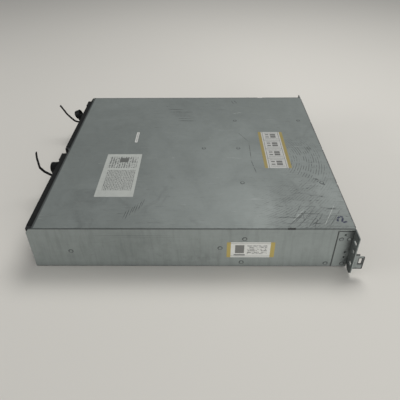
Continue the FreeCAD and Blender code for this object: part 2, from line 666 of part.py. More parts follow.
def make_shelves():
    """Shelf above each controller, folded up on both sides to guide the supply."""
    shelf = body("module_shelf")
    guides = [box(f"{SUPPLY_LEFT}-bay_gap-shelf", f"{SUPPLY_LEFT}-bay_gap",
                  SHELF_HIGH, f"{SHELF_HIGH}+guide"),
              box(f"{SUPPLY_RIGHT}+bay_gap", f"{SUPPLY_RIGHT}+bay_gap+shelf",
                  SHELF_HIGH, f"{SHELF_HIGH}+guide")]
    start = f"{MODULE_FRONT}+bay_gap"
    pad(shelf, "XZ", [box(f"-{INNER}", "-sheet/2", "shelf_low", SHELF_HIGH)], start, "shelf_end")
    pad(shelf, "XZ", guides, start, "shelf_end")
    return group("module_shelves", [shelf, group("shelf_b", [shelf], MODULE_STEP)])


def inlet_outline(wide, tall):
    """Mains inlet section: a rectangle with its two upper corners cut off."""
    corner = f"({tall})/4"
    left, right = f"{INLET_X}-({wide})/2", f"{INLET_X}+({wide})/2"
    low, high = f"inlet_high-({tall})/2", f"inlet_high+({tall})/2"
    return [(left, low), (right, low), (right, f"{high}-{corner}"), (f"{right}-{corner}", high),
            (f"{left}+{corner}", high), (left, f"{high}-{corner}")]


def make_supply_case():
    """Supply housing with a round duct for its fan and a pocket for the inlet."""
    case = body("psu_a_case")
    rear = "bezel_rear-bezel_lap"
    pad(case, "XZ", [box(SUPPLY_LEFT, SUPPLY_RIGHT, SUPPLY_LOW, SUPPLY_HIGH)], MODULE_FRONT, rear)
    duct = many_sided(FAN_X, "fan_high", "fan_bore/2", DUCT_SIDES)
    cut(case, "XZ", [duct], f"{rear}-fan_deep", f"{rear}+1")
    spindle = many_sided(FAN_X, "fan_high", "fan_spindle*cos(22.5)", PIN_SIDES)
    pad(case, "XZ", [spindle], f"{rear}-fan_deep", f"{rear}-fan_deep+fan_long+fan_back")
    room = inlet_outline("inlet_wide-inlet_rim", "inlet_tall-inlet_rim")
    cut(case, "XZ", [room], "bezel_rear-inlet_back-inlet_deep-bay_gap", f"{rear}+1")
    return case


def make_supply_bezel():
    """Moulded rear plate: fan grille, air slots, inlet opening and a raised end for the catch."""
    plate = body("psu_a_bezel")
    front, rear = "bezel_rear-bezel_lap", "bezel_rear"
    pad(plate, "XZ", [box(SUPPLY_LEFT, SUPPLY_RIGHT, BEZEL_LOW, "bezel_top")], front, rear)
    raised = box(f"{SUPPLY_RIGHT}-boss_wide", SUPPLY_RIGHT, BEZEL_LOW, "bezel_top")
    pad(plate, "XZ", [raised], rear, f"{rear}+boss")
    soften(plate, "boss/2", lambda e: is_line(e, 0) and middle(e).z > SIZES["bezel_top"] - NEAR
           and middle(e).y > SIZES["bezel_rear"] - NEAR)
    opening = centred(INLET_X, "inlet_wide+2*bay_gap", "inlet_high", "inlet_tall+2*bay_gap")
    cut(plate, "XZ", [opening], f"{front}-1", f"{rear}+boss+1")
    step = "(grille_slot+grille_bar)"
    slots = []
    for n in (-2, -1, 0, 1, 2):
        reach = f"sqrt((fan_bore/2)^2-({abs(n)}*{step}+grille_slot/2)^2)"
        level = f"fan_high+{n}*{step}"
        slots.append(box(f"{FAN_X}-{reach}", f"{FAN_X}+{reach}",
                         f"{level}-grille_slot/2", f"{level}+grille_slot/2"))
    cut(plate, "XZ", slots, f"{front}-1", f"{rear}+1")
    air = [centred(f"{FAN_X}+fan_bore/2+{n + 1.5}*1.6*{step}", "grille_slot", "fan_high", "fan_bore*0.7")
           for n in range(7)]
    cut(plate, "XZ", air, f"{front}-1", f"{rear}+1")
    pocket = box(f"{CATCH_X}-catch_wide/2-catch_play", f"{CATCH_X}+catch_wide/2+catch_play",
                 "catch_foot_at-catch_play", "catch_foot_at+catch_tall+catch_play")
    cut(plate, "XZ", [pocket], f"{rear}-bezel_lap*0.75", f"{rear}+boss+1")
    bore = many_sided(CATCH_PIN_Y, CATCH_PIN_Z, "catch_pin/2+pin_play", PIN_SIDES)
    cut(plate, "YZ", [bore], f"{CATCH_X}-catch_wide/2-catch_play-catch_pin",
        f"{CATCH_X}+catch_wide/2+catch_play+catch_pin")
    room = box(f"{INLET_X}-strap_wide/2-catch_play", f"{INLET_X}+strap_wide/2+catch_play",
               "strap_root-strap_under", "strap_root+strap_over")
    cut(plate, "XZ", [room], f"{STRAP_Y}-strap_eye-catch_play", f"{rear}+1")
    bore = many_sided(STRAP_Y, "strap_root", "strap_pin/2+pin_play", PIN_SIDES)
    reach = "(strap_wide/2+catch_play+strap_stub)"
    cut(plate, "YZ", [bore], f"{INLET_X}-{reach}", f"{INLET_X}+{reach}")
    return plate


def make_supply_catch():
    """Release catch that rocks on two stub pins near its top."""
    catch = body("psu_a_catch")
    face = centred(CATCH_X, "catch_wide", "catch_foot_at+catch_tall/2", "catch_tall")
    pad(catch, "XZ", [face], "bezel_rear+catch_proud+boss-catch_thick", "bezel_rear+catch_proud+boss")
    stub = {"x": CATCH_PIN_Y, "y": CATCH_PIN_Z, "r": "catch_pin/2"}
    pad(catch, "YZ", [stub], f"{CATCH_X}-catch_wide/2-catch_pin", f"{CATCH_X}+catch_wide/2+catch_pin")
    soften(catch, "catch_thick/3", lambda e: is_line(e, 0) and middle(e).y
           > SIZES["bezel_rear"] + SIZES["catch_proud"] + SIZES["boss"] - NEAR)
    return catch


def make_inlet():
    """Mains inlet: a flange, a moulded body with the socket in it, and three blades."""
    inlet = body("psu_a_inlet")
    face = "bezel_rear-inlet_back"
    flange = centred(INLET_X, "inlet_wide", "inlet_high", "inlet_tall")
    pad(inlet, "XZ", [flange], f"{face}-inlet_rim/2", face)
    shell = inlet_outline("inlet_wide-inlet_rim-2*bay_gap", "inlet_tall-inlet_rim-2*bay_gap")
    pad(inlet, "XZ", [shell], f"{face}-inlet_deep", f"{face}-inlet_rim/2")
    socket = inlet_outline("socket_wide", "socket_tall")
    cut(inlet, "XZ", [socket], f"{face}-socket_deep", f"{face}+1")
    blades = [centred(f"{INLET_X}-socket_wide/4", "blade", "inlet_high-blade", "2*blade"),
              centred(f"{INLET_X}+socket_wide/4", "blade", "inlet_high-blade", "2*blade"),
              centred(INLET_X, "blade", "inlet_high+blade", "2*blade")]
    pad(inlet, "XZ", blades, f"{face}-socket_deep", f"{face}-socket_deep/4")
    return inlet


def make_rotor():
    """Fan rotor at its own axis: a hub with slanted blades set round it."""
    rotor = body("rotor")
    hub_front = "-fan_long"
    pad(rotor, "XZ", [many_sided("0", "0", "fan_hub", 2 * FAN_BLADES)], hub_front, "0")
    slant, half = "fan_long*0.32", "fan_blade/2"
    blade = [(f"-{slant}-{half}", f"{hub_front}+1"), (f"-{slant}+{half}", f"{hub_front}+1"),
             (f"{slant}+{half}", "-1"), (f"{slant}-{half}", "-1")]
    first = pad(rotor, "XY", [blade], "fan_hub-1", "fan_tip")
    ring_of = rotor.newObject("PartDesign::PolarPattern", "rotor_blades")
    ring_of.Originals = [first]
    ring_of.Axis = (origin_part(rotor, "Y_Axis"), [""])
    ring_of.Angle = 360
    ring_of.Occurrences = FAN_BLADES
    rotor.Tip = ring_of
    doc.recompute()
    cut(rotor, "XZ", [{"x": "0", "y": "0", "r": "fan_spindle+pin_play"}], f"{hub_front}-1", "1")
    return rotor


def corner_path(runs):
    """Corners of a route in the Y-Z plane, given as runs of a named length and a heading."""
    corners = [V(0, 0, 0)]
    for name, heading in runs:
        length, turn = SIZES[name], math.radians(heading)
        corners.append(corners[-1] + V(0, length * math.cos(turn), length * math.sin(turn)))
    return corners


def rounded_wire(corners, radius):
    """Straight runs through the corners, joined by tangent arcs."""
    edges = []
    start = corners[0]
    for before, corner, after in zip(corners, corners[1:], corners[2:]):
        back = (before - corner).normalize()
        ahead = (after - corner).normalize()
        turn = math.pi - back.getAngle(ahead)
        reach = radius * math.tan(turn / 2)
        bisector = (back + ahead).normalize()
        centre = corner + bisector * (radius / math.cos(turn / 2))
        first, last = corner + back * reach, corner + ahead * reach
        edges.append(Part.LineSegment(start, first).toShape())
        edges.append(Part.Arc(first, centre - bisector * radius, last).toShape())
        start = last
    edges.append(Part.LineSegment(start, corners[-1]).toShape())
    return Part.Wire(edges)


# Straight runs of each strap from its pivot: length and heading from level, in degrees.
STRAP_A = (("a_level", 0), ("a_rise", 35), ("a_climb", 55), ("a_upright", 89), ("a_tip", 97))
STRAP_B = (("b_level", 0), ("b_rise", 39), ("b_climb", 71), ("b_upright", 76), ("b_reach", 88),
           ("b_tip", 86))


def make_strap(label, runs, module_x):
    """Nylon strap beside the inlet that ties the mains cord, bent as it hangs."""
    half, wide = SIZES["strap_thick"] / 2, SIZES["strap_wide"]
    middle_line = rounded_wire(corner_path(runs), SIZES["strap_bend"])
    middle_line.translate(V(-wide / 2, 0, 0))
    sides = [middle_line.makeOffset2D(side * half, 0, False, True) for side in (-1, 1)]
    ends = [Part.LineSegment(sides[0].OrderedVertexes[n].Point,
                             sides[1].OrderedVertexes[n].Point).toShape() for n in (0, -1)]
    edge_list = sides[0].Edges + sides[1].Edges + ends
    face = Part.Face(Part.Wire(Part.__sortEdges__(edge_list)))
    ribbon = face.extrude(V(wide, 0, 0))
    eye = Part.makeCylinder(SIZES["strap_eye"], wide, V(-wide / 2, 0, 0), V(1, 0, 0))
    reach, across = wide / 2 + SIZES["strap_stub"], SIZES["strap_pin"] / 2
    rim = [V(-reach, across * math.cos(turn), across * math.sin(turn))
           for turn in (math.tau * n / PIN_SIDES for n in range(PIN_SIDES + 1))]
    pin = Part.Face(Part.makePolygon(rim)).extrude(V(2 * reach, 0, 0))
    strap = doc.addObject("Part::Feature", "Strap_" + label)
    strap.Shape = ribbon.fuse([eye, pin]).removeSplitter()
    strap.Label = label
    return bind(strap, Placement__Base__x=f"{INLET_X}+{module_x}",
                Placement__Base__y=STRAP_Y, Placement__Base__z="strap_root")


def make_clamp():
    """Loop clamp at its own strap line: a sleeve on the strap, a neck and a ring."""
    clamp = body("clamp")
    low, high = "-clamp_long/2", "clamp_long/2"
    pad(clamp, "XZ", [centred("0", "clamp_foot", "0", "clamp_foot_tall")], low, high)
    neck = box("-strap_wide/2", "strap_wide/2", "0", "clamp_rise-clamp_bore")
    pad(clamp, "XZ", [neck], low, high)
    pad(clamp, "XZ", [{"x": "0", "y": "clamp_rise", "r": "clamp_ring"}], low, high)
    cut(clamp, "XZ", [{"x": "0", "y": "clamp_rise", "r": "clamp_bore"}], f"{low}-1", f"{high}+1")
    sleeve = centred("0", "strap_wide+2*clamp_play", "0", "strap_thick+2*clamp_play")
    cut(clamp, "XZ", [sleeve], f"{low}-1", f"{high}+1")
    return clamp


def place_clamp(label, clamp, module_x, along, droop):
    placed = group(label, [clamp])
    placed.Placement = FreeCAD.Placement(V(0, 0, 0), FreeCAD.Rotation(V(-1, 0, 0), 1))
    return bind(placed, Placement__Rotation__Angle=droop,
                Placement__Base__x=f"{INLET_X}+{module_x}",
                Placement__Base__y=f"{STRAP_Y}+{along}*cos({droop})",
                Placement__Base__z=f"strap_root-{along}*sin({droop})")


def make_unit():
    """Controller case: full width of its bay, with a side flange up beside the supply."""
    case = body("controller_a_case")
    rear = "unit_end"
    pad(case, "XZ", [box(MODULE_LEFT, MODULE_RIGHT, UNIT_LOW, UNIT_HIGH)], MODULE_FRONT, rear)
    post = [(f"{rear}-post_root", "post_foot"), ("post_end", "post_foot"),
            ("post_end", "post_high"), ("post_start", "post_high"), ("post_start", UNIT_HIGH),
            (f"{rear}-post_root", UNIT_HIGH)]
    pad(case, "YZ", [post], MODULE_LEFT, f"{MODULE_LEFT}+post_wide")
    window = box(f"{MODULE_LEFT}+window_left", f"{MODULE_LEFT}+window_left+window_long",
                 "window_low", "window_high")
    cut(case, "XZ", [window], f"{rear}-window_deep", f"{rear}+1")
    level = "(window_low+window_high)/2+vent_rise"
    vents = [centred(f"{MODULE_LEFT}+window_left-{n + 1.5}*vent_step", "vent_slot",
                     level, "vent_long") for n in range(9)]
    vents += [centred(f"{MODULE_LEFT}+window_left+window_long+{n + 1.5}*vent_step", "vent_slot",
                      level, "vent_long") for n in range(4)]
    cut(case, "XZ", vents, f"{rear}-window_deep/2", f"{rear}+1")
    high = "eject_low+eject_tall+pin_play"
    for pivot in EJECT_PIVOTS:
        ear = box(f"{pivot}-eject_eye", f"{pivot}+eject_eye", rear, f"{rear}+eject_out+eject_eye")
        pad(case, "XY", [ear], "eject_low-pin_play-eject_ear", "eject_low-pin_play")
        pad(case, "XY", [ear], high, f"{high}+eject_ear")
        pin = many_sided(pivot, f"{rear}+eject_out", "eject_pin/2*cos(22.5)", PIN_SIDES)
        pad(case, "XY", [pin], "eject_low-pin_play-eject_ear", f"{high}+eject_ear")
    return case


def make_ejector():
    """Ejector lever at its own pivot: an eye, a flat bar and a thumb lip at the end."""
    lever = body("ejector")
    half = "eject_thick/2"
    bar = [("0", f"-{half}"), ("eject_long", f"-{half}"), ("eject_long", f"2*{half}+{half}"),
           (f"eject_long-{half}", f"2*{half}+{half}"), (f"eject_long-2*{half}", half), ("0", half)]
    low, high = "eject_low", "eject_low+eject_tall"
    pad(lever, "XY", [bar], low, high)
    pad(lever, "XY", [{"x": "0", "y": "0", "r": "eject_eye"}], low, high)
    bore = many_sided("0", "0", "eject_pin/2+pin_play", PIN_SIDES)
    cut(lever, "XY", [bore], f"{low}-1", f"{high}+1")
    return lever


def make_ports():
    """Sockets in the controller's window: three for the network and two for drive links."""
    ports = body("controller_a_ports")
    rear = "unit_end"
    left = f"{MODULE_LEFT}+window_left"
    level = "(window_low+window_high)/2"
    back = f"{rear}-jack_deep"
    plate = box(f"{left}+bay_gap", f"{left}+window_long-bay_gap",
                "window_low+bay_gap", "window_high-bay_gap")
    pad(ports, "XZ", [plate], f"{back}-2*jack_wall", f"{back}-jack_wall")
    sockets = [(f"{left}+jack_wide+{n}*jack_pitch", "jack_wide", "jack_tall") for n in range(3)]
    sockets += [(f"{left}+window_long-link_wide-{n}*link_pitch", "link_wide", "link_tall")
                for n in range(2)]
    shells = [centred(x, f"{wide}+2*jack_wall", level, f"{tall}+2*jack_wall")
              for x, wide, tall in sockets]
    pad(ports, "XZ", shells, f"{back}-jack_wall", f"{rear}-jack_wall")
    cut(ports, "XZ", [centred(x, wide, level, tall) for x, wide, tall in sockets], back, f"{rear}+1")
    return ports


# Rivet heads on each side wall: in front of the middle and above the base.
WALL_RIVETS = ((85.0, 63.9), (46.8, 43.5), (82.0, 10.5), (219.4, 8.4))
# Rivet heads on each ear's leg: behind its front edge and below its top edge.
LEG_RIVETS = ((18.0, 17.0), (5.7, 17.0), (7.6, 72.8))


def make_rivets():
    """Rivet heads: the drive dividers' on the cover, and those of the side walls."""
    heads = []
    turns = {"rivet_up": 0, "rivet_left": -90, "rivet_right": 90}
    for label, degrees in turns.items():
        head = doc.addObject("Part::Prism", label)
        head.Polygon = RIVET_SIDES
        head.Placement = FreeCAD.Placement(V(0, 0, 0), FreeCAD.Rotation(V(0, 1, 0), degrees))
        heads.append(bind(head, Circumradius="rivet", Height="rivet_high"))
    up, left, right = heads
    placed = []
    for column in (-1, 0, 1):
        for along in ("rivet_front", "rivet_rear"):
            placed.append(group(f"rivet_{column}_{along}", [up], f"{column}*bay_pitch",
                                f"-{along}", "height"))
    placed.append(group("rivet_middle", [up], "0", "-board_front/4", "height"))
    places = [(f"-{ahead}", f"{high}") for ahead, high in WALL_RIVETS]
    places += [(f"-front_end+{behind}", f"leg_high-{below}") for behind, below in LEG_RIVETS]
    for n, (along, high) in enumerate(places):
        placed.append(group(f"rivet_left_{n}", [left], "-width/2", along, high))
        placed.append(group(f"rivet_right_{n}", [right], "width/2", along, high))
    return group("rivets", placed)


def build():
    """Every sub-part, in the order that the enclosure is put together."""
    ear, catch = make_ear(), make_catch()
    nodes = [make_tray(), make_cover(), ear, mirrored("ear_right", ear),
             catch, mirrored("latch_tab_right", catch)]
    divider = make_divider()
    nodes.append(group("cage_dividers", [group(f"divider_{n}", [divider], f"{n}*bay_pitch")
                                         for n in (-1, 0, 1)]))
    left_runner = group("runner_left", [make_runner()], "-2*bay_pitch")
    nodes.append(group("side_runners", [left_runner, mirrored("runner_right", left_runner)]))
    nodes += [make_board(), make_plugs(), make_centre_wall(), make_shelves(), make_rivets()]

    sled, disk, handle = make_sled(), make_disk(), make_handle()
    for row in range(ROWS):
        for column in range(COLUMNS):
            number = row * COLUMNS + column + 1
            place = (f"{column - 1.5}*bay_pitch", "0", f"row_start+{row}*row_pitch")
            nodes.append(group(f"drive_{number:02}", [sled, disk], *place))
            nodes.append(group(f"handle_{number:02}", [handle], *place))

    pieces = [make_supply_case(), make_supply_bezel(), make_inlet(), make_supply_catch(),
              make_unit(), make_ports()]
    for piece in pieces:
        nodes += [piece, group(piece.Label.replace("_a_", "_b_"), [piece], MODULE_STEP)]
    rotor, clamp, lever = make_rotor(), make_clamp(), make_ejector()
    turned = mirrored("ejector_turned", lever)
    steps = {"a": "0", "b": MODULE_STEP}
    for side in SIDES:
        shift = steps[side]
        nodes.append(group(f"psu_{side}_fan", [rotor], f"{FAN_X}+{shift}",
                           "bezel_rear-bezel_lap-fan_deep+fan_long+fan_back-bay_gap", "fan_high"))
        pivot_y = "unit_end+eject_out"
        nodes.append(group(f"controller_{side}_lever_left", [lever],
                           f"{EJECT_PIVOTS[0]}+{shift}", pivot_y))
        nodes.append(group(f"controller_{side}_lever_right", [turned],
                           f"{EJECT_PIVOTS[1]}+{shift}", pivot_y))
    nodes.append(make_strap("psu_a_strap", STRAP_A, "0"))
    strap_b = make_strap("psu_b_strap", STRAP_B, MODULE_STEP)
    strap_b.Placement = FreeCAD.Placement(V(0, 0, 0), FreeCAD.Rotation(V(-1, 0, 0), 1))
    nodes.append(bind(strap_b, Placement__Rotation__Angle="droop"))
    nodes.append(place_clamp("psu_a_clamp", clamp, "0", "clamp_a_at", "0"))
    nodes.append(place_clamp("psu_b_clamp", clamp, MODULE_STEP, "clamp_b_at", "droop"))
    return nodes


def check(nodes):
    """Stop if any object failed or any sub-part has no sound solid."""
    doc.recompute()
    for item in doc.Objects:
        if "Invalid" in item.State or "Error" in item.State:
            raise RuntimeError(f"{item.Label} failed: {item.State}")
    for node in nodes:
        if node.Shape.isNull() or not node.Shape.isValid() or not node.Shape.Solids:
            raise RuntimeError(f"{node.Label} has no sound solid")


fill_sheet()
NODES = build()
check(NODES)
os.makedirs("parts", exist_ok=True)
for node in NODES:
    node.Shape.exportStep(f"parts/{node.Label}.step")
print(len(NODES), "sub-parts written")
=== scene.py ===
import functools
import math

import bmesh
import bpy
from bpy.props import FloatProperty, FloatVectorProperty, PointerProperty
from mathutils import Matrix, Vector


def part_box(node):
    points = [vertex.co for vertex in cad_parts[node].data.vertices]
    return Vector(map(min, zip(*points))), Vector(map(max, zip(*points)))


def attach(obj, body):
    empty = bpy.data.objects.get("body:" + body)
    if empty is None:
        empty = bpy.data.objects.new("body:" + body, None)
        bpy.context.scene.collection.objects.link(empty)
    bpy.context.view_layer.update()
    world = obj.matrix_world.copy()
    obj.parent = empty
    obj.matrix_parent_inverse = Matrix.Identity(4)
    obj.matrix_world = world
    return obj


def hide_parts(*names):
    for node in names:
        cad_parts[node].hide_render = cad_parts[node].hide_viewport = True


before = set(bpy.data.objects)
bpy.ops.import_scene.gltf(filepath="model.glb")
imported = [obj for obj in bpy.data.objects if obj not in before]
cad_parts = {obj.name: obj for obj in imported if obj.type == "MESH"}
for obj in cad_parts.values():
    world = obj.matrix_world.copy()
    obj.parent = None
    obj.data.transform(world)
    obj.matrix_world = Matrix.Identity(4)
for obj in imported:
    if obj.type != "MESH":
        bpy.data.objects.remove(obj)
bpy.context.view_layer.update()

bl_info = {
    "name": "Storage Array Looks",
    "version": (1, 0, 0),
    "blender": (4, 5, 0),
    "location": "View3D > Sidebar > Array",
    "description": "Finishes, stickers, fasteners and a studio stage for a rack storage array",
    "category": "Object",
}

MM = 0.001
COVER_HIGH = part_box("top_cover")[1]
TRAY_LOW, TRAY_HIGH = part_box("chassis_tray")
DRIVES = [f"drive_{n:02}" for n in range(1, 13)]
HANDLES = [f"handle_{n:02}" for n in range(1, 13)]
SIDES = ("a", "b")

# Places of the CAD that the looks follow, in millimetres.
PITCH, RISE = 109.5, 27.3  # drive bays across and upwards
LOWEST_DRIVE = 2.5
CARRIER_FACE = -242.95  # rear of the carriers' black plates
COVER_HALF, COVER_UNDER = 221.9, 86.15  # its cut edge and its underside
COVER_ROWS, COVER_LONE = (-228.0, -89.0), -21.0  # rivets along the cover
WALL_HALF, WALL_TOP = 222.5, 84.9
NOTCH_AT, NOTCH_HALF = -156.2, 5.8
LEG_SEAM, LEG_TOP = -228.7, 81.3  # edges of the ear's leg in the wall
EAR_HALF, EAR_FACE = 240.8, -254.8
PLATE_PIECES = 256.6  # middle of the small pieces let into the supplies' plates


def tint(name, about, default):
    return FloatVectorProperty(name=name, description=about, default=default, size=3,
                               min=0, max=1, subtype="COLOR")


def length(name, about, default):
    return FloatProperty(name=name, description=about, default=default, min=0,
                         unit="LENGTH", subtype="DISTANCE")


def share(name, about, default):
    return FloatProperty(name=name, description=about, default=default, min=0, max=1,
                         subtype="FACTOR")


def power(name, about, default):
    return FloatProperty(name=name, description=about, default=default, min=0, unit="POWER")


class ARRAY_PG_steel(bpy.types.PropertyGroup):
    """Zinc coated sheet of the tray, cover and ears"""
    zinc: tint("Zinc", "Main colour of the zinc coat", (0.232, 0.257, 0.248))
    zinc_dark: tint("Worn zinc", "Colour of the duller patches", (0.156, 0.175, 0.168))
    # grime_and_shade is the colour of rubbed-in dirt and deep scratches, and also of the painted
    # shade on the cover and the ear.
    grime_and_shade: tint("Grime", "Colour of rubbed-in dirt and deep scratches", (0.045, 0.05, 0.05))
    bright: tint("Fresh scratch", "Colour of a fresh, bright scratch", (0.46, 0.48, 0.46))
    ink: tint("Ink", "Colour of the hand-drawn pen mark", (0.010, 0.012, 0.045))
    metallic: share("Metallic", "How much the coat mirrors like bare metal", 0.42)
    roughness: share("Roughness", "Dullness of the coat", 0.56)


class ARRAY_PG_plastic(bpy.types.PropertyGroup):
    """Black parts: bezels, handles, catches, straps and powder coated housings"""
    black: tint("Black", "Moulded plastic", (0.0095, 0.010, 0.010))
    powder: tint("Powder coat", "Coat of the module housings", (0.020, 0.021, 0.022))
    tooth_step: length("Tooth step", "From tooth to tooth on the cord straps", 2.0 * MM)
    dust: tint("Dust", "Pale dust that settles on the black parts", (0.038, 0.038, 0.036))


class ARRAY_PG_stickers(bpy.types.PropertyGroup):
    """Blank stickers on the cover and on the left side"""
    paper: tint("Paper", "White of the stickers", (0.43, 0.435, 0.415))
    silver: tint("Silver", "Silver grey of the large sticker", (0.41, 0.43, 0.405))
    band: tint("Band", "Plain yellow bands at the stickers' edges", (0.27, 0.215, 0.065))
    rule: tint("Rules", "Grey of the ruled lines and fields", (0.085, 0.088, 0.088))
    thick: length("Thickness", "Thickness of a sticker", 0.15 * MM)
    corner: length("Corner", "Radius of a sticker's corners", 1.2 * MM)


class ARRAY_PG_stage(bpy.types.PropertyGroup):
    """Floor, lamps and camera"""
    floor: tint("Floor", "Pale floor", (0.66, 0.645, 0.605))
    sky: share("World", "Strength of the even light from all round", 0.24)
    key: power("Overhead lamp", "Power of the large soft lamp", 20)
    fill: power("Fill lamp", "Power of the low lamp beside the camera", 34)
    back: power("Rear lamp", "Power of the lamp behind the enclosure", 21)
    lens: FloatProperty(name="Lens", description="Focal length on a 36 mm sensor",
                        default=36.64, min=1, unit="CAMERA")
    shift: FloatProperty(name="Shift", description="Upward shift of the lens",
                         default=-0.1192)


class ARRAY_PG_all(bpy.types.PropertyGroup):
    """Everything that a user would change"""
    steel: PointerProperty(type=ARRAY_PG_steel)
    plastic: PointerProperty(type=ARRAY_PG_plastic)
    stickers: PointerProperty(type=ARRAY_PG_stickers)
    stage: PointerProperty(type=ARRAY_PG_stage)


def maths(operation, **settings):
    """A method of Value that adds one Math node."""
    return lambda self, other=0.0: self.join(operation, self, other, **settings)


class Value:
    """A number socket. Sums, products and the like add their own Math nodes."""

    def __init__(self, look, socket):
        self.look, self.socket = look, socket

    def join(self, operation, first, second=0.0, clamp=False):
        node = self.look.add("ShaderNodeMath", {"operation": operation, "use_clamp": clamp},
                             {0: first, 1: second})
        return Value(self.look, node.outputs[0])

    __add__ = __radd__ = maths("ADD")
    __sub__ = maths("SUBTRACT")
    __mul__ = __rmul__ = maths("MULTIPLY")
    __truediv__ = maths("DIVIDE")
    above, below = maths("GREATER_THAN"), maths("LESS_THAN")
    least, most = maths("MINIMUM"), maths("MAXIMUM")
    size, root = maths("ABSOLUTE"), maths("SQRT")
    clamped = maths("ADD", clamp=True)

    def __rsub__(self, other):
        return self.join("SUBTRACT", other, self)

    def between(self, low, high):
        return self.above(low) * self.below(high)

    def near(self, place, half):
        """1 closer to a place than half a width."""
        return (self - place).size().below(half)

    def repeat(self, step):
        """Distance from the nearest multiple of a step, from 0 to half the step."""
        return self.join("PINGPONG", self, step / 2)

    def rise(self, low, high):
        """0 below low, 1 above high, and smooth between. Low may be above high."""
        node = self.look.add("ShaderNodeMapRange", {"interpolation_type": "SMOOTHSTEP"},
                             {0: self, 1: low, 2: high, 3: 0.0, 4: 1.0})
        return Value(self.look, node.outputs[0])


class Look:
    """One procedural material on Object coordinates."""

    def __init__(self, name, **settings):
        self.material = bpy.data.materials.new(name)
        self.material.use_nodes = True
        self.tree = self.material.node_tree
        self.tree.nodes.clear()
        self.shader = self.add("ShaderNodeBsdfPrincipled", {}, settings)
        self.add("ShaderNodeOutputMaterial", {}, {"Surface": self.shader.outputs[0]})
        self.place = self.add("ShaderNodeTexCoord").outputs["Object"]
        split = self.add("ShaderNodeSeparateXYZ", {}, {0: self.place})
        self.x, self.y, self.z = (Value(self, split.outputs[n]) for n in range(3))

    def millimetres(self, origin=(0, 0, 0)):
        """The place in millimetres, counted from an origin in metres."""
        pairs = zip((self.x, self.y, self.z), origin)
        return [(value - start) * 1000.0 for value, start in pairs]

    def add(self, kind, settings=(), inputs=()):
        """Any node: its type, its settings, and the values or links of its sockets."""
        node = self.tree.nodes.new(kind)
        for key, value in dict(settings).items():
            setattr(node, key, value)
        return self.feed(node, dict(inputs))

    def feed(self, node, inputs):
        """Values or links into sockets, whose names may have underscores for spaces."""
        for key, value in inputs.items():
            if isinstance(key, str):
                key = key.replace("_", " ")
            socket = node.inputs[key]
            if isinstance(value, Value):
                value = value.socket
            if isinstance(value, bpy.types.NodeSocket):
                self.tree.links.new(value, socket)
            elif hasattr(value, "__len__") and len(value) == 3 and socket.type == "RGBA":
                socket.default_value = (*value, 1.0)
            else:
                socket.default_value = value
        return node

    def set(self, **inputs):
        """The material, with values or links in its shader."""
        self.feed(self.shader, inputs)
        return self.material

    def mix(self, factor, first, second, kind="MIX"):
        """A colour between two colours."""
        node = self.add("ShaderNodeMix", {"data_type": "RGBA", "blend_type": kind,
                                          "clamp_factor": True},
                        {0: factor, 6: first, 7: second})
        return node.outputs[2]

    def stretched(self, along, turn=0.0, shift=0.0):
        """The place, stretched, turned about Z and shifted before a pattern reads it."""
        node = self.add("ShaderNodeMapping", {}, {"Vector": self.place, "Scale": along,
                                                  "Rotation": (0, 0, turn),
                                                  "Location": (shift, shift, shift)})
        return node.outputs[0]

    def noise(self, scale, detail=2.0, rough=0.5, warp=0.0, at=None):
        node = self.add("ShaderNodeTexNoise", {},
                        {"Vector": at or self.place, "Scale": scale, "Detail": detail,
                         "Roughness": rough, "Distortion": warp})
        return Value(self, node.outputs[0])

    def cells(self, scale, output="Color"):
        node = self.add("ShaderNodeTexVoronoi", {}, {"Vector": self.place, "Scale": scale})
        return Value(self, node.outputs[output])

    def done(self, colour, rough, height, strength, distance=0.0002):
        """The finished material, with its colour, roughness and bumps."""
        bump = self.add("ShaderNodeBump", {}, {"Strength": strength, "Distance": distance,
                                               "Height": height})
        return self.set(Base_Color=colour, Roughness=rough, Normal=bump.outputs[0])

    def stroke(self, u, v, start, end, wide):
        """1 on a straight stroke between two points of a plane, fading over its width."""
        (u0, v0), (u1, v1) = start, end
        long = math.hypot(u1 - u0, v1 - v0)
        du, dv = (u1 - u0) / long, (v1 - v0) / long
        along = u * du + v * dv - (u0 * du + v0 * dv)
        across = (v * du - u * dv - (v0 * du - u0 * dv)).size()
        inside = along.rise(0, long * 0.25) * along.rise(long, long * 0.7)
        return across.rise(wide, wide * 0.3) * inside

    def patch(self, u, v, centre, reach):
        """1 at a point of a plane, fading to 0 at a distance from it."""
        du, dv = (u - centre[0]) / reach[0], (v - centre[1]) / reach[1]
        return (du * du + dv * dv).rise(1, 0)


def props():
    return bpy.context.scene.storage_array


def toned(colour, factor):
    return tuple(part * factor for part in colour)


def hairlines(look, turn, fine, keep, stretch=0.06, seed=0.0):
    """Thin broken lines that run one way: the contours of a noise that is pulled long."""
    at = look.stretched((fine, fine * stretch, fine), turn, seed)
    line = (look.noise(1.0, 1.0, 0.5, 0.3, at=at) - 0.5).size().rise(0.012, 0.002)
    broken = look.noise(2.4, 2.0, 0.6, at=at).rise(1 - keep, 1.04 - keep)
    return line * broken


def zinc_look(name):
    """Even blotches, fine grain and faint rolling streaks of a zinc coat."""
    steel = props().steel
    look = Look(name, Metallic=steel.metallic)
    blotch = look.noise(7.0, 4.0, 0.55, 0.4)
    streak = look.noise(1.0, 3.0, 0.6, at=look.stretched((420, 14, 200)))
    grain = look.noise(900.0, 2.0, 0.6)
    spangle = look.cells(150.0)
    mottle = blotch.rise(0.34, 0.68) * 0.5 + streak * 0.18 + spangle * 0.10 + grain * 0.22
    colour = look.mix(mottle.clamped(), steel.zinc, steel.zinc_dark)
    rough = mottle * 0.22 + (steel.roughness - 0.1)
    return steel, look, colour, rough, grain


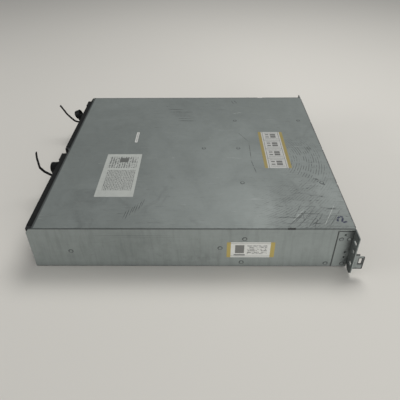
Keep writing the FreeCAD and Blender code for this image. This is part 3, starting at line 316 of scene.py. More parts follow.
def steel_look(name, tone=1.0):
    """Plain zinc coated steel for the inner and small sheet parts."""
    steel, look, colour, rough, grain = zinc_look(name)
    dirt = look.noise(46.0, 5.0, 0.7).rise(0.60, 0.78)
    colour = look.mix(dirt * 0.35, colour, steel.grime_and_shade)
    if tone != 1.0:
        colour = look.mix(1.0, colour, (tone, tone, tone), "MULTIPLY")
    return look.done(colour, rough, grain, 0.08)


# Strokes on the cover in millimetres across and along it: start, end and half width.
DARK_STROKES = (
    ((-219, -150), (-170, -197), 1.09), ((-215, -158), (-178, -190), 0.87),
    ((-221, -163), (-183, -199), 0.72), ((-212, -172), (-168, -206), 0.65),
    ((-221, -181), (-190, -204), 1.16), ((-217, -186), (-196, -209), 1.01),
    ((-221, -191), (-199, -201), 0.87), ((-213, -194), (-187, -213), 0.72),
    ((-205, -160), (-160, -184), 0.58), ((-221, -213), (-174, -245), 0.8),
    ((-207, -178), (-185, -181), 0.72), ((-199, -182), (-204, -196), 0.72),
    ((62, -91), (22, -113), 0.72), ((24, -112), (-40, -111), 0.72),
    ((-38, -110), (-84, -117), 1.01),
    ((209, -91), (190, -100), 1.2), ((205, -86), (186, -92), 1.0),
    ((164, 66), (160, 20), 1.26), ((150, 62), (149, 2), 1.47), ((141, 56), (140, 12), 1.05),
    ((132, 48), (131, 4), 1.26), ((120, 40), (119, 6), 1.05), ((110, 38), (109, -6), 1.47),
    ((-152, 78), (-174, 82), 0.7), ((-157, 82), (-182, 86), 0.85),
    ((-161, 87), (-189, 91), 0.7), ((-166, 91), (-188, 95), 0.85),
    ((-171, 95), (-196, 99), 0.7), ((-176, 100), (-204, 104), 0.85),
    ((-180, 104), (-202, 108), 0.7),
    ((-98, -217), (-101, -225), 2.32), ((-112, -227), (-115, -234), 2.61),
)
BRIGHT_STROKES = (
    ((140, -84), (149, -110), 0.7), ((-219, -206), (-162, -238), 0.5),
    ((-176, -186), (-208, -158), 0.4), ((-30, -60), (-36, -96), 0.3),
)
INK_STROKES = (
    ((-207, -230), (-200, -232), 2.3), ((-200, -231), (-195, -237), 2.3),
    ((-195, -236), (-197, -242), 2.3), ((-197, -241), (-209, -236), 2.3),
    ((-209, -237), (-206, -246), 2.3),
)


def strokes(look, u, v, table):
    """The darkest of many straight strokes."""
    return functools.reduce(Value.most, [look.stroke(u, v, *row) for row in table])


def rings(look, u, v, centre, step, half):
    """Thin circles about a point at every step, a little wavy and broken."""
    du, dv = u - centre[0], v - centre[1]
    away = (du * du + dv * dv).root()
    line = (away + look.noise(9.0, 2.0) * 9.0).repeat(step).rise(half, half * 0.2)
    return line * look.noise(95.0, 3.0, 0.65).rise(0.44, 0.56)


def painted_ring_shade(u, v):
    """A ring of painted shade about a rivet head at the zero of both distances."""
    away = (u * u + v * v).root()
    return away.rise(2.3, 2.9) * away.rise(4.6, 3.3)


def painted_rivet_shade(along, high, table):
    """A ring of painted shade about every rivet head of a table."""
    rows = [painted_ring_shade(along - a, high - h) for a, h in table]
    return functools.reduce(Value.most, rows)


def cover_look():
    """Zinc coated cover: rub marks, long scratches, a pen mark, dull dirt near one corner, painted
    shade on its cut edges and rings of painted shade about the rivet heads.
    """
    steel, look, colour, rough, grain = zinc_look("zinc_cover")
    grime_and_shade = steel.grime_and_shade
    x, y, z = look.millimetres()
    ragged = (look.noise(11.0, 4.0, 0.6) - 0.5) * 150.0
    corner = look.patch(x + ragged, y - ragged, (-192, -198), (135, 125))
    front = look.patch(x, y + ragged, (-60, -226), (250, 135))
    rear = look.patch(x + ragged, y, (-190, 110), (140, 160))
    far = look.patch(x, y + ragged, (150, 30), (120, 120))
    arcs = hairlines(look, 0.75, 210.0, 0.50) + hairlines(look, 0.55, 150.0, 0.46, 0.05, 3.1)
    cross = hairlines(look, -0.35, 180.0, 0.42, 0.06, 7.4)
    along = hairlines(look, 0.06, 170.0, 0.42, 0.05, 5.7)
    curved = rings(look, x, y, (-30, -100), 4.6, 0.95) * look.patch(x, y, (-48, -212), (112, 52))
    worn = rings(look, x, y, (-10, -40), 4.2, 0.8) * look.patch(x, y, (-180, -178), (90, 80))
    marks = arcs * (corner * 0.9 + front * 0.4 + rear * 0.2) + cross * (corner * 0.6 + rear * 0.6)
    marks = marks + along * (far * 0.6 + 0.26) + curved * 0.8 + worn * 0.5
    broken = look.noise(340.0, 2.0, 0.6).rise(0.28, 0.5)
    scored = strokes(look, x, y, DARK_STROKES) * broken
    smoke = look.noise(20.0, 5.0, 0.62, 0.8).rise(0.45, 0.8)
    # dull is a broad, smooth darkening without noise over the cover's near middle and its far
    # middle; it joins the smudges.
    dull = look.patch(x, y, (-150, 40), (200, 180)) * 0.10 + far * 0.08
    fine_smoke = look.noise(70.0, 5.0, 0.7, 0.5).rise(0.5, 0.8)
    smudge = smoke * (corner * 0.08 + front * 0.10 + rear * 0.26 + 0.12) \
        + fine_smoke * (corner * 0.22 + 0.06) + dull
    for amount in (smudge, (marks * 0.85).clamped(), scored * 0.92):
        colour = look.mix(amount, colour, grime_and_shade)
    glint = strokes(look, x, y, BRIGHT_STROKES) * broken * 0.8
    fresh = hairlines(look, 0.9, 130.0, 0.38, 0.05, 9.2)
    colour = look.mix(glint + corner * 0.07 + fresh * 0.3, colour, steel.bright)
    across = x.size()
    from_row = (y - COVER_ROWS[0]).size().least((y - COVER_ROWS[1]).size())
    # A ring of painted shade about each rivet head of the cover.
    heads = painted_ring_shade(x.repeat(PITCH), from_row) * across.below(1.5 * PITCH - 4)
    heads = heads.most(painted_ring_shade(x, y - COVER_LONE))
    colour = look.mix(heads * 0.8, colour, grime_and_shade)
    colour = look.mix(strokes(look, x, y, INK_STROKES) * 0.9, colour, steel.ink)
    near_edge = across.rise(219.5, 221.8).most(y.rise(-251.5, -253.6))
    edge_dirt = near_edge * look.noise(60.0, 4.0, 0.65).rise(0.35, 0.7) * 0.55
    # Painted shade on the cover's cut edges and in a 0.7 mm strip beside them, the shadowed seam
    # above the wall.
    painted_seam_shade = (z.below(COVER_UNDER) * across.above(COVER_HALF)) \
        .most(across.rise(COVER_HALF - 0.7, COVER_HALF))
    # rims darkens strips along the cover's +X edge and along its rear end.
    rims = (x.rise(218.8, 221.0) * 0.7).most(y.rise(242.6, 244.6) * 0.85)
    colour = look.mix(edge_dirt.most(painted_seam_shade * 0.85).most(rims), colour, grime_and_shade)
    return look.done(colour, (rough + marks * 0.2).clamped(), grain * 0.5 - marks - scored, 0.16)


# Rivet heads of the walls in millimetres along them and above the base, the rear one last.
WALL_RIVETS = ((-85.0, 63.9), (-46.8, 43.5), (-82.0, 10.5), (-219.4, 8.4), (193.1, 36.1))
LEG_RIVETS = ((-236.0, 63.6), (-248.3, 63.6), (-246.4, 7.8))


def wall_look():
    """Zinc coated tray: scratched line below the cover, smudges, seams, handling dirt, darker
    towards the bottom, and painted shade in the seam under the cover, in the finger notch and in
    rings about the rivet heads.
    """
    steel, look, colour, rough, grain = zinc_look("zinc_walls")
    x, y, z = look.millimetres()
    smoke = look.noise(13.0, 5.0, 0.62, 0.7).rise(0.42, 0.78)
    fall = look.noise(1.0, 4.0, 0.68, at=look.stretched((60, 150, 16))).rise(0.42, 0.72)
    smudge = look.noise(52.0, 5.0, 0.68).rise(0.42, 0.75) \
        * (look.patch(y, z, (75, 46), (150, 40)) * 0.5 + look.patch(y, z, (59, 15), (36, 18))
           + look.patch(y, z, (5, 20), (70, 16)) * 0.9)
    streaks = hairlines(look, 0.0, 210.0, 0.42, 0.05, 2.2)
    line = (z - 71.0).size().rise(0.6, 0.15) * look.patch(y, z, (90, 70), (75, 9))
    line = line + (z - 67.6).size().rise(0.5, 0.1) * look.patch(y, z, (60, 68), (70, 8)) * 0.7
    specks = look.cells(120.0, output="Distance").rise(0.10, 0.03) \
        * look.noise(24.0, 2.0).rise(0.55, 0.7)
    # smoke, smudge and fall are dirt; the term in z makes the wall darker over its lowest 16 mm.
    colour = look.mix(smoke * 0.12 + z.rise(16, 0) * 0.20 + smudge * 0.30 + fall * 0.16, colour,
                      steel.grime_and_shade)
    fine = (line * 0.6 + streaks * 0.25 + specks * 0.5).clamped()
    colour = look.mix(fine, colour, steel.grime_and_shade)
    # Rings of painted shade about the wall's rivet heads.
    heads = painted_rivet_shade(y, z, WALL_RIVETS)
    # Painted shade along the wall's top 0.9 mm, in the seam under the cover.
    top = z.rise(WALL_TOP - 0.9, WALL_TOP) * 0.75
    # Painted shade on the tray's lip where the cover's finger notch opens.
    notch_shadow = y.near(NOTCH_AT, NOTCH_HALF) * z.above(WALL_TOP - 0.9) * x.size().above(218.0)
    seam = (y - LEG_SEAM).size().rise(0.9, 0.35) * z.below(LEG_TOP + 0.1) \
        * y.below(LEG_SEAM + 0.7)
    above_leg = (z - LEG_TOP).size().rise(0.8, 0.3) * y.below(LEG_SEAM - 0.2)
    seam = seam.most(above_leg) * x.size().above(WALL_HALF - 1.0)
    # foot darkens the lowest 2.4 mm of the wall towards black.
    foot = z.rise(2.4, 1.0) * 0.75
    # The near-black colour below takes the painted shade about the rivet heads, under the cover
    # and in the notch, as well as the dark leg seam and the darkened foot.
    edges = (heads * 0.8).most(top).most(seam * 0.9).most(notch_shadow).most(foot)
    colour = look.mix(edges, colour, (0.012, 0.012, 0.012))
    return look.done(colour, rough, grain, 0.1)


def ear_look():
    """Zinc coated ear: smeared dirt and painted shade towards the fold, painted shade on the plate
    behind it, deeper at its lower end round the holes and at its top and outer edges, and rings of
    painted shade about the rivets.
    """
    steel, look, colour, rough, grain = zinc_look("zinc_ear")
    x, y, z = look.millimetres()
    across = x.size()
    wall = across.below(WALL_HALF)
    # Darker towards the fold: painted shade broken up by noise, together with smeared dirt.
    fold = y.rise(-238.0, -252.0) * look.noise(70.0, 5.0, 0.65).rise(0.3, 0.62) * wall
    smears = look.noise(40.0, 5.0, 0.65).rise(0.5, 0.8) \
        + look.cells(240.0, output="Distance").rise(0.16, 0.06) * look.noise(60.0).rise(0.5, 0.6)
    # Painted shade on the plate behind the fold, half strength everywhere and stronger at the rims
    # below: its lower end, its top and its outer edge.
    behind = across.above(WALL_HALF) * y.above(EAR_FACE) \
        * look.noise(60.0, 4.0, 0.6).rise(0.1, 0.5)
    rims = z.rise(20.0, 8.0).most(z.rise(81.8, 83.2)).most(across.rise(EAR_HALF - 1.2, EAR_HALF))
    colour = look.mix(fold * 0.6 + smears * 0.3 + behind * (rims * 0.35 + 0.5), colour,
                      steel.grime_and_shade)
    # Rings of painted shade about the leg's rivet heads.
    heads = painted_rivet_shade(y, z, LEG_RIVETS)
    rim = (y - LEG_SEAM + 1.2).size().rise(0.6, 0.2).most(
        (z - LEG_TOP + 1.1).size().rise(0.6, 0.2) * y.below(LEG_SEAM - 0.3))
    # The near-black colour takes the rings of painted shade about the rivet heads and the dark
    # lines round the leg.
    colour = look.mix((heads * 0.8).most(rim * 0.7) * wall, colour, (0.02, 0.02, 0.02))
    return look.done(colour, rough, grain, 0.1)


# Window of the latch tab in millimetres from the tab's lower corner: middle and half size.
TAB_HOLE = (6.0, 2.4, 17.85, 6.25)


def tab_look():
    """Zinc coated latch tab with fine dirt and painted shade along the edges round its plate and
    its window.
    """
    _, look, colour, rough, grain = zinc_look("zinc_tab")
    low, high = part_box("latch_tab_left")
    _, y, z = look.millimetres(low)
    tall = (high.z - low.z) * 1000
    # Painted shade along the tab's edges and round its window.
    painted_edge_shade = y.rise(2.6, 1.4).most(z.rise(2.6, 1.4)).most(z.rise(tall - 2.6, tall - 1.4))
    hole = ((y - TAB_HOLE[0]).size() - TAB_HOLE[1]).most((z - TAB_HOLE[2]).size() - TAB_HOLE[3])
    painted_edge_shade = painted_edge_shade.most(hole.rise(2.0, 1.0))
    dirt = look.noise(90.0, 5.0, 0.68).rise(0.42, 0.7)
    colour = look.mix((painted_edge_shade + dirt * 0.5 + 0.15).clamped(), colour, (0.045, 0.048, 0.048))
    return look.done(colour, rough, grain, 0.1)


def moulded_look(name, colour, rough=0.5, grain_scale=1400.0, dust_share=0.3):
    """Black parts: fine leather-like grain, soft wear and pale dust in patches."""
    plastic = props().plastic
    look = Look(name, Specular_IOR_Level=0.13)
    grain = look.noise(grain_scale, 2.0, 0.55)
    dust = look.noise(70.0, 5.0, 0.65).rise(0.48, 0.8)
    worn = look.noise(28.0, 3.0, 0.6).rise(0.4, 0.75)
    base = look.mix(worn * 0.35, colour, toned(colour, 1.7))
    colour = look.mix(dust * dust_share, base, plastic.dust)
    return look.done(colour, (dust * 0.2 + worn * 0.08 + rough).clamped(), grain, 0.25)


def lens_look(name, rough, dark, light):
    """A moulded lens with a fine grain."""
    look = Look(name, Roughness=rough, Coat_Weight=0.4)
    return look.set(Base_Color=look.mix(look.noise(900.0, 2.0), dark, light))


def sticker_look(name, low, axes, colour, rows):
    """A blank sticker. rows(u, v) gives the masks of its bands, rules and pale fields, with u
    and v in millimetres from its low corner along two axes."""
    stickers = props().stickers
    look = Look(name, Specular_IOR_Level=0.5)
    place = look.millimetres(low)
    band, rule, field = rows(*(place[n] for n in axes))
    worn = look.noise(90.0, 4.0, 0.6).rise(0.4, 0.75)
    paper = look.mix(worn * 0.25, colour, toned(colour, 0.72))
    paper = look.mix(band, paper, stickers.band)
    paper = look.mix(rule, paper, stickers.rule)
    paper = look.mix(field, paper, toned(colour, 0.26))
    rubbed = look.noise(240.0, 3.0, 0.7).rise(0.62, 0.72)
    return look.done(look.mix(rubbed * 0.35, paper, toned(colour, 0.6)),
                     look.noise(30.0, 3.0).rise(0.2, 0.9) * 0.2 + 0.38,
                     look.noise(35.0, 2.0), 0.12, 0.0005)


def unpick():
    if bpy.context.object and bpy.context.object.mode != "OBJECT":
        bpy.ops.object.mode_set(mode="OBJECT")
    bpy.ops.object.select_all(action="DESELECT")


def primitive(kind, name, **sizes):
    """A mesh primitive at its size and place, opened in edit mode."""
    unpick()
    getattr(bpy.ops.mesh, f"primitive_{kind}_add")(**sizes)
    piece = bpy.context.object
    piece.name = name
    bpy.ops.object.transform_apply(location=True, rotation=True, scale=True)
    bpy.ops.object.mode_set(mode="EDIT")
    return piece


def pick(test, kind="FACE"):
    """Select only the faces, edges or vertices whose middle and normal pass a test."""
    bpy.ops.mesh.select_mode(type=kind)
    bpy.ops.mesh.select_all(action="DESELECT")
    form = bmesh.from_edit_mesh(bpy.context.object.data)
    form.normal_update()
    if kind == "FACE":
        for face in form.faces:
            face.select_set(test(face.calc_center_median(), face.normal))
    elif kind == "EDGE":
        for edge in form.edges:
            a, b = edge.verts
            edge.select_set(test((a.co + b.co) / 2, (b.co - a.co).normalized()))
    else:
        for corner in form.verts:
            corner.select_set(test(corner.co, corner.normal))
    bmesh.update_edit_mesh(bpy.context.object.data)


def finish_piece(piece, body, material, smooth=None):
    """Close a piece: back to object mode, material on, riding on its body."""
    if piece.mode != "OBJECT":
        bpy.ops.object.mode_set(mode="OBJECT")
    if smooth is not None:
        bpy.ops.object.shade_smooth_by_angle(angle=math.radians(smooth))
    piece.data.materials.clear()
    piece.data.materials.append(material)
    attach(piece, body)
    return piece


def move(x, y, z):
    """Move what is picked, in millimetres."""
    bpy.ops.transform.translate(value=(x * MM, y * MM, z * MM))


def button(name, sides, radius, depth, steps, facing=(0, 1, 0), middle=0.0):
    """A short cylinder, in millimetres. Its outer face is inset and moved by each step."""
    facing = Vector(facing)
    turn = (0, 0, 0) if facing.z else (math.pi / 2, 0, 0)
    piece = primitive("cylinder", name, vertices=sides, radius=radius * MM, depth=depth * MM,
                      location=facing * middle * MM, rotation=turn)
    pick(lambda at, normal: normal.dot(facing) > 0.9)
    for inset, shift in steps:
        bpy.ops.mesh.inset(thickness=inset * MM)
        move(*(facing * shift))
    return piece


def copy_piece(piece, shift, turn=(0, 0, 0), name=None):
    """A turned and moved copy of a piece with its own mesh."""
    choose(piece)
    bpy.ops.object.duplicate(linked=False)
    made = bpy.context.object
    made.rotation_euler, made.location = turn, shift
    made.name = name or made.name
    bpy.ops.object.transform_apply(location=True, rotation=True, scale=True)
    return made


def choose(*pieces):
    """Select only these pieces, the first one active."""
    unpick()
    for piece in pieces:
        piece.select_set(True)
    bpy.context.view_layer.objects.active = pieces[0]


def reopen(piece):
    choose(piece)
    bpy.ops.object.mode_set(mode="EDIT")


def remove(*masters):
    """Delete masters once their copies are made."""
    choose(*masters)
    bpy.ops.object.delete()


def rounded(offset, segments=2):
    """Bevel every edge of the open piece."""
    bpy.ops.mesh.select_mode(type="EDGE")
    bpy.ops.mesh.select_all(action="SELECT")
    bpy.ops.mesh.bevel(offset=offset, segments=segments, affect="EDGES")


def joined(pieces, name):
    choose(*pieces)
    bpy.ops.object.join()
    pieces[0].name = name
    return pieces[0]


def paint(nodes, material):
    """Give CAD nodes a material."""
    for node in nodes:
        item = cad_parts[node]
        item.data.materials.clear()
        item.data.materials.append(material)


class ARRAY_OT_enclosure(bpy.types.Operator):
    """Give the tray, cover, ears and inner sheets their zinc coat"""
    bl_idname = "array.enclosure"
    bl_label = "Zinc coated enclosure"

    def execute(self, context):
        paint(["top_cover"], cover_look())
        paint(["chassis_tray"], wall_look())
        plain = steel_look("zinc_sheet")
        paint(["cage_dividers", "side_runners", "centre_divider", "module_shelves"], plain)
        paint(["ear_left", "ear_right"], ear_look())
        paint(["latch_tab_left", "latch_tab_right"], tab_look())
        paint(["rivets"], plain)
        return {"FINISHED"}


class ARRAY_OT_rivets(bpy.types.Operator):
    """Domed rivet heads with a dished middle on the cover and the walls"""
    bl_idname = "array.rivets"
    bl_label = "Rivets"

    def execute(self, context):
        head = button("rivet_head", 20, 2.6, 0.6, [(0.7, 0), (0.8, -0.28)], (0, 0, 1), 0.3)
        pick(lambda at, along: at.z > 0.55 * MM and at.xy.length > 2.47 * MM, "EDGE")
        bpy.ops.mesh.bevel(offset=0.35 * MM, segments=2, affect="EDGES")
        heads = [copy_piece(head, seat, (0, out.x * math.pi / 2, 0)) for seat, out in self.seats()]
        remove(head)
        whole = joined(heads, "rivet_heads")
        finish_piece(whole, "chassis", steel_look("zinc_rivet", 0.9), 50)
        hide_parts("rivets")
        return {"FINISHED"}

    def seats(self):
        """Where each rivet of the CAD meets its sheet and which way its head looks, and one
        more fastener near the rear of each wall."""
        loose = bmesh.new()
        loose.from_mesh(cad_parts["rivets"].data)
        bmesh.ops.remove_doubles(loose, verts=loose.verts, dist=1e-6)
        left, found = set(loose.verts), []
        while left:
            stack, group = [left.pop()], []
            while stack:
                corner = stack.pop()
                group.append(corner.co.copy())
                near = {edge.other_vert(corner) for edge in corner.link_edges} & left
                left -= near
                stack += near
            low = Vector(min(at[n] for at in group) for n in range(3))
            high = Vector(max(at[n] for at in group) for n in range(3))
            thin = min(range(3), key=lambda n: (high - low)[n])
            out = Vector((0, 0, 0))
            out[thin] = math.copysign(1, low[thin])
            found.append(((low + high) / 2 - out * (high - low)[thin] / 2, out))
        loose.free()
        for side in (-1, 1):
            along, high = (part * MM for part in WALL_RIVETS[-1])
            found.append((Vector((side * TRAY_HIGH.x, along, high)), Vector((side, 0, 0))))
        return sorted(found, key=lambda pair: tuple(round(n, 6) for n in pair[0]))


def sticker(name, low, high, material, flat):
    """A thin rounded sheet between two corners of a face across one axis of the enclosure."""
    stickers = props().stickers
    centre, size = (low + high) / 2, high - low
    out = math.copysign(1, low[flat])
    wide, turn = (size.x, (0, 0, 0)) if flat == 2 else (size.z, (0, out * math.pi / 2, 0))
    unpick()
    bpy.ops.mesh.primitive_plane_add(size=1, location=centre, rotation=turn)
    piece = bpy.context.object
    piece.name = name
    piece.scale = (wide, size.y, 1)
    bpy.ops.object.transform_apply(location=True, rotation=True, scale=True)
    bpy.ops.object.mode_set(mode="EDIT")
    pick(lambda at, normal: True, "VERT")
    bpy.ops.mesh.bevel(offset=stickers.corner, segments=4, affect="VERTICES")
    pick(lambda at, normal: True)
    thick = [out * stickers.thick if n == flat else 0 for n in range(3)]
    bpy.ops.mesh.extrude_region_move(TRANSFORM_OT_translate={"value": thick})
    bpy.ops.mesh.select_all(action="SELECT")
    bpy.ops.mesh.normals_make_consistent(inside=False)
    return finish_piece(piece, "chassis", material)


def lines(value, step, offset, half):
    """Rules at every step along a value."""
    return (value - offset).repeat(step).below(half)


def worn_rows(value, fine):
    """Gaps that break ruled lines into uneven pieces."""
    return value.look.noise(fine, 2.0, 0.6).rise(0.42, 0.52)


# Bands, rules and pale fields of the blank stickers, in millimetres from a low corner.

def banded_rows(u, v):
    band = v.below(6.0).most(v.above(44.0))
    rules = lines(u, 32.0, 31.5, 0.5) * v.between(8.5, 41.5)
    rules = rules.most(v.near(9.0, 0.4).most(v.near(41.0, 0.4)))
    near = u.repeat(32.0)
    text = near.between(3.5, 7.5) * lines(v, 2.4, 0.6, 0.55) * v.between(12.0, 38.0)
    block = near.above(9.0) * v.between(15.0, 26.0) \
        + near.between(10.0, 13.5) * v.between(29.0, 36.0)
    return band, rules.most(text * 0.6), block * near.below(15.2)


def silver_rows(u, v):
    text = lines(v, 2.9, 1.0, 0.95) * v.between(5.0, 57.0) * u.between(17.0, 76.0)
    wide = lines(v, 4.6, 1.2, 1.5) * v.between(6.0, 60.0) * u.between(82.0, 118.0)
    text = (text * worn_rows(u, 520.0)).most(wide * worn_rows(u, 260.0))
    return v.below(-1.0), text * 0.8, u.between(100.0, 114.0) * v.between(24.0, 40.0)


def side_rows(u, v):
    band = u.below(7.0).most(u.above(70.0))
    rules = v.near(3.0, 0.35).most(v.near(31.4, 0.35)) * u.between(7.0, 70.0)
    text = lines(v, 3.6, 1.0, 1.0) * v.between(8.0, 28.0) * u.between(12.0, 44.0)
    text = text * worn_rows(u, 420.0)
    under = v.between(4.5, 7.0) * u.between(47.0, 65.0)
    square = v.between(9.5, 28.0) * u.between(48.5, 63.0)
    return band, rules.most(text * 0.95).most(under), square


def bar_rows(u, v):
    inside = v.between(1.5, 3.6) * u.between(4.0, 36.0)
    return v.below(-1.0), inside * u.repeat(2.3).below(0.5) * 0.9, v.below(-1.0)


class ARRAY_OT_stickers(bpy.types.Operator):
    """Blank stickers: two with yellow bands, a large silver one and a small white one"""
    bl_idname = "array.stickers"
    bl_label = "Stickers"

    def execute(self, context):
        sizes = props().stickers
        top, wall = COVER_HIGH.z / MM, TRAY_LOW.x / MM
        for name, finish, low, high, colour, rows in (
                ("front", "banded", (-66, -184, top), (61, -134, top), sizes.paper,
                 banded_rows),
                ("rear", "silver", (-147.5, 99, top), (-20.5, 165.5, top), sizes.silver,
                 silver_rows),
                ("side", "side_banded", (wall, -133.9, 22.3), (wall, -57.6, 56.6), sizes.paper,
                 side_rows),
                ("small", "plain", (22, 114.5, top), (61, 120, top),
                 toned(sizes.paper, 1.25), bar_rows)):
            low, high = Vector(low) * MM, Vector(high) * MM
            flat = 2 if name != "side" else 0
            axes = [n for n in range(3) if n != flat]
            material = sticker_look(f"sticker_{finish}", low, axes, colour, rows)
            sticker(f"sticker_{name}", low, high, material, flat)
        return {"FINISHED"}


class ARRAY_OT_drives(bpy.types.Operator):
    """Carriers in front: black plate, steel rails, cast drive, lenses and handles"""
    bl_idname = "array.drives"
    bl_label = "Drive carriers"

    def execute(self, context):
        plastic = props().plastic
        look = Look("carrier_and_drive", Specular_IOR_Level=0.4)
        x, y, z = look.millimetres()
        plate = y.below(CARRIER_FACE)
        rail = (x - PITCH / 2).repeat(PITCH).above(50.85)
        level = z.join("MODULO", z - LOWEST_DRIVE, RISE)
        grain = look.noise(1400.0, 2.0, 0.5)
        cast = look.noise(260.0, 3.0, 0.6)
        dust = look.noise(60.0, 5.0, 0.65).rise(0.45, 0.8)
        black = look.mix(dust * 0.4, plastic.black, plastic.dust)
        alu = look.mix(cast.rise(0.3, 0.7), (0.20, 0.205, 0.205), (0.255, 0.26, 0.26))
        alu = look.mix(rail, alu, (0.17, 0.18, 0.18))
        alu = look.mix(level.below(1.4) * (1.0 - rail), alu, (0.016, 0.055, 0.032))
        look.set(Metallic=(1.0 - plate) * 0.6)
        paint(DRIVES, look.done(look.mix(plate, alu, black),
                                (cast * 0.2 + 0.36 + dust * 0.12).clamped(),
                                grain * plate + cast * (1.0 - plate), 0.25))
        handle = moulded_look("handle_plastic", plastic.powder, 0.44, 1500.0, 0.35)
        paint(HANDLES, handle)
        self.lenses()
        self.grips(handle)
        return {"FINISHED"}

    def lenses(self):
        """Two small light lenses beside each carrier's handle."""
        frosted = lens_look("lens_frosted", 0.28, (0.20, 0.24, 0.20), (0.42, 0.45, 0.40))
        bead = button("bead", 14, 1.3, 1.0, [(0.45, 0.12)], (0, -1, 0))
        for drive in DRIVES:
            low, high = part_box(drive)
            spot = Vector(((low.x + high.x) / 2 - 48.6 * MM, low.y + 0.1 * MM, low.z))
            made = [copy_piece(bead, spot + Vector((0, 0, rise * MM))) for rise in (7.6, 13.2)]
            pair = joined(made, f"{drive}_lenses")
            finish_piece(pair, drive, frosted, 40)
        remove(bead)

    def grips(self, material):
        """Raised ribs at the free end of each handle and a small round button beside them."""
        rib = primitive("cube", "rib", size=1, scale=(1.1 * MM, 0.9 * MM, 7.4 * MM))
        rounded(0.22 * MM)
        knob = button("knob", 20, 2.6, 0.9, [(0.7, -0.25)], (0, -1, 0))
        for handle in HANDLES:
            low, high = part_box(handle)
            at = Vector((low.x, low.y + 0.15 * MM, (low.z + high.z) / 2))
            made = [copy_piece(rib, at + Vector((step * MM, 0, 0))) for step in (5, 8, 11, 14)]
            made.append(copy_piece(knob, at + Vector((21 * MM, 0, 0))))
            whole = joined(made, f"{handle}_grip")
            finish_piece(whole, handle, material, 35)
        remove(rib, knob)


# Straight runs of the cord straps as in the CAD: length in millimetres, heading in degrees.
STRAP_RUNS = {
    "a": ((18.1, 0), (17.0, 35), (12.0, 55), (21.5, 89), (14.0, 97)),
    "b": ((22.1, -24), (13.4, 15), (11.6, 47), (13.4, 52), (11.4, 64), (14.6, 62)),
}
STRAP_PIVOT = Vector((0, 255.0 * MM, 54.5 * MM))
CLAMP_AT = {"a": 8.2 * MM, "b": 13.1 * MM}


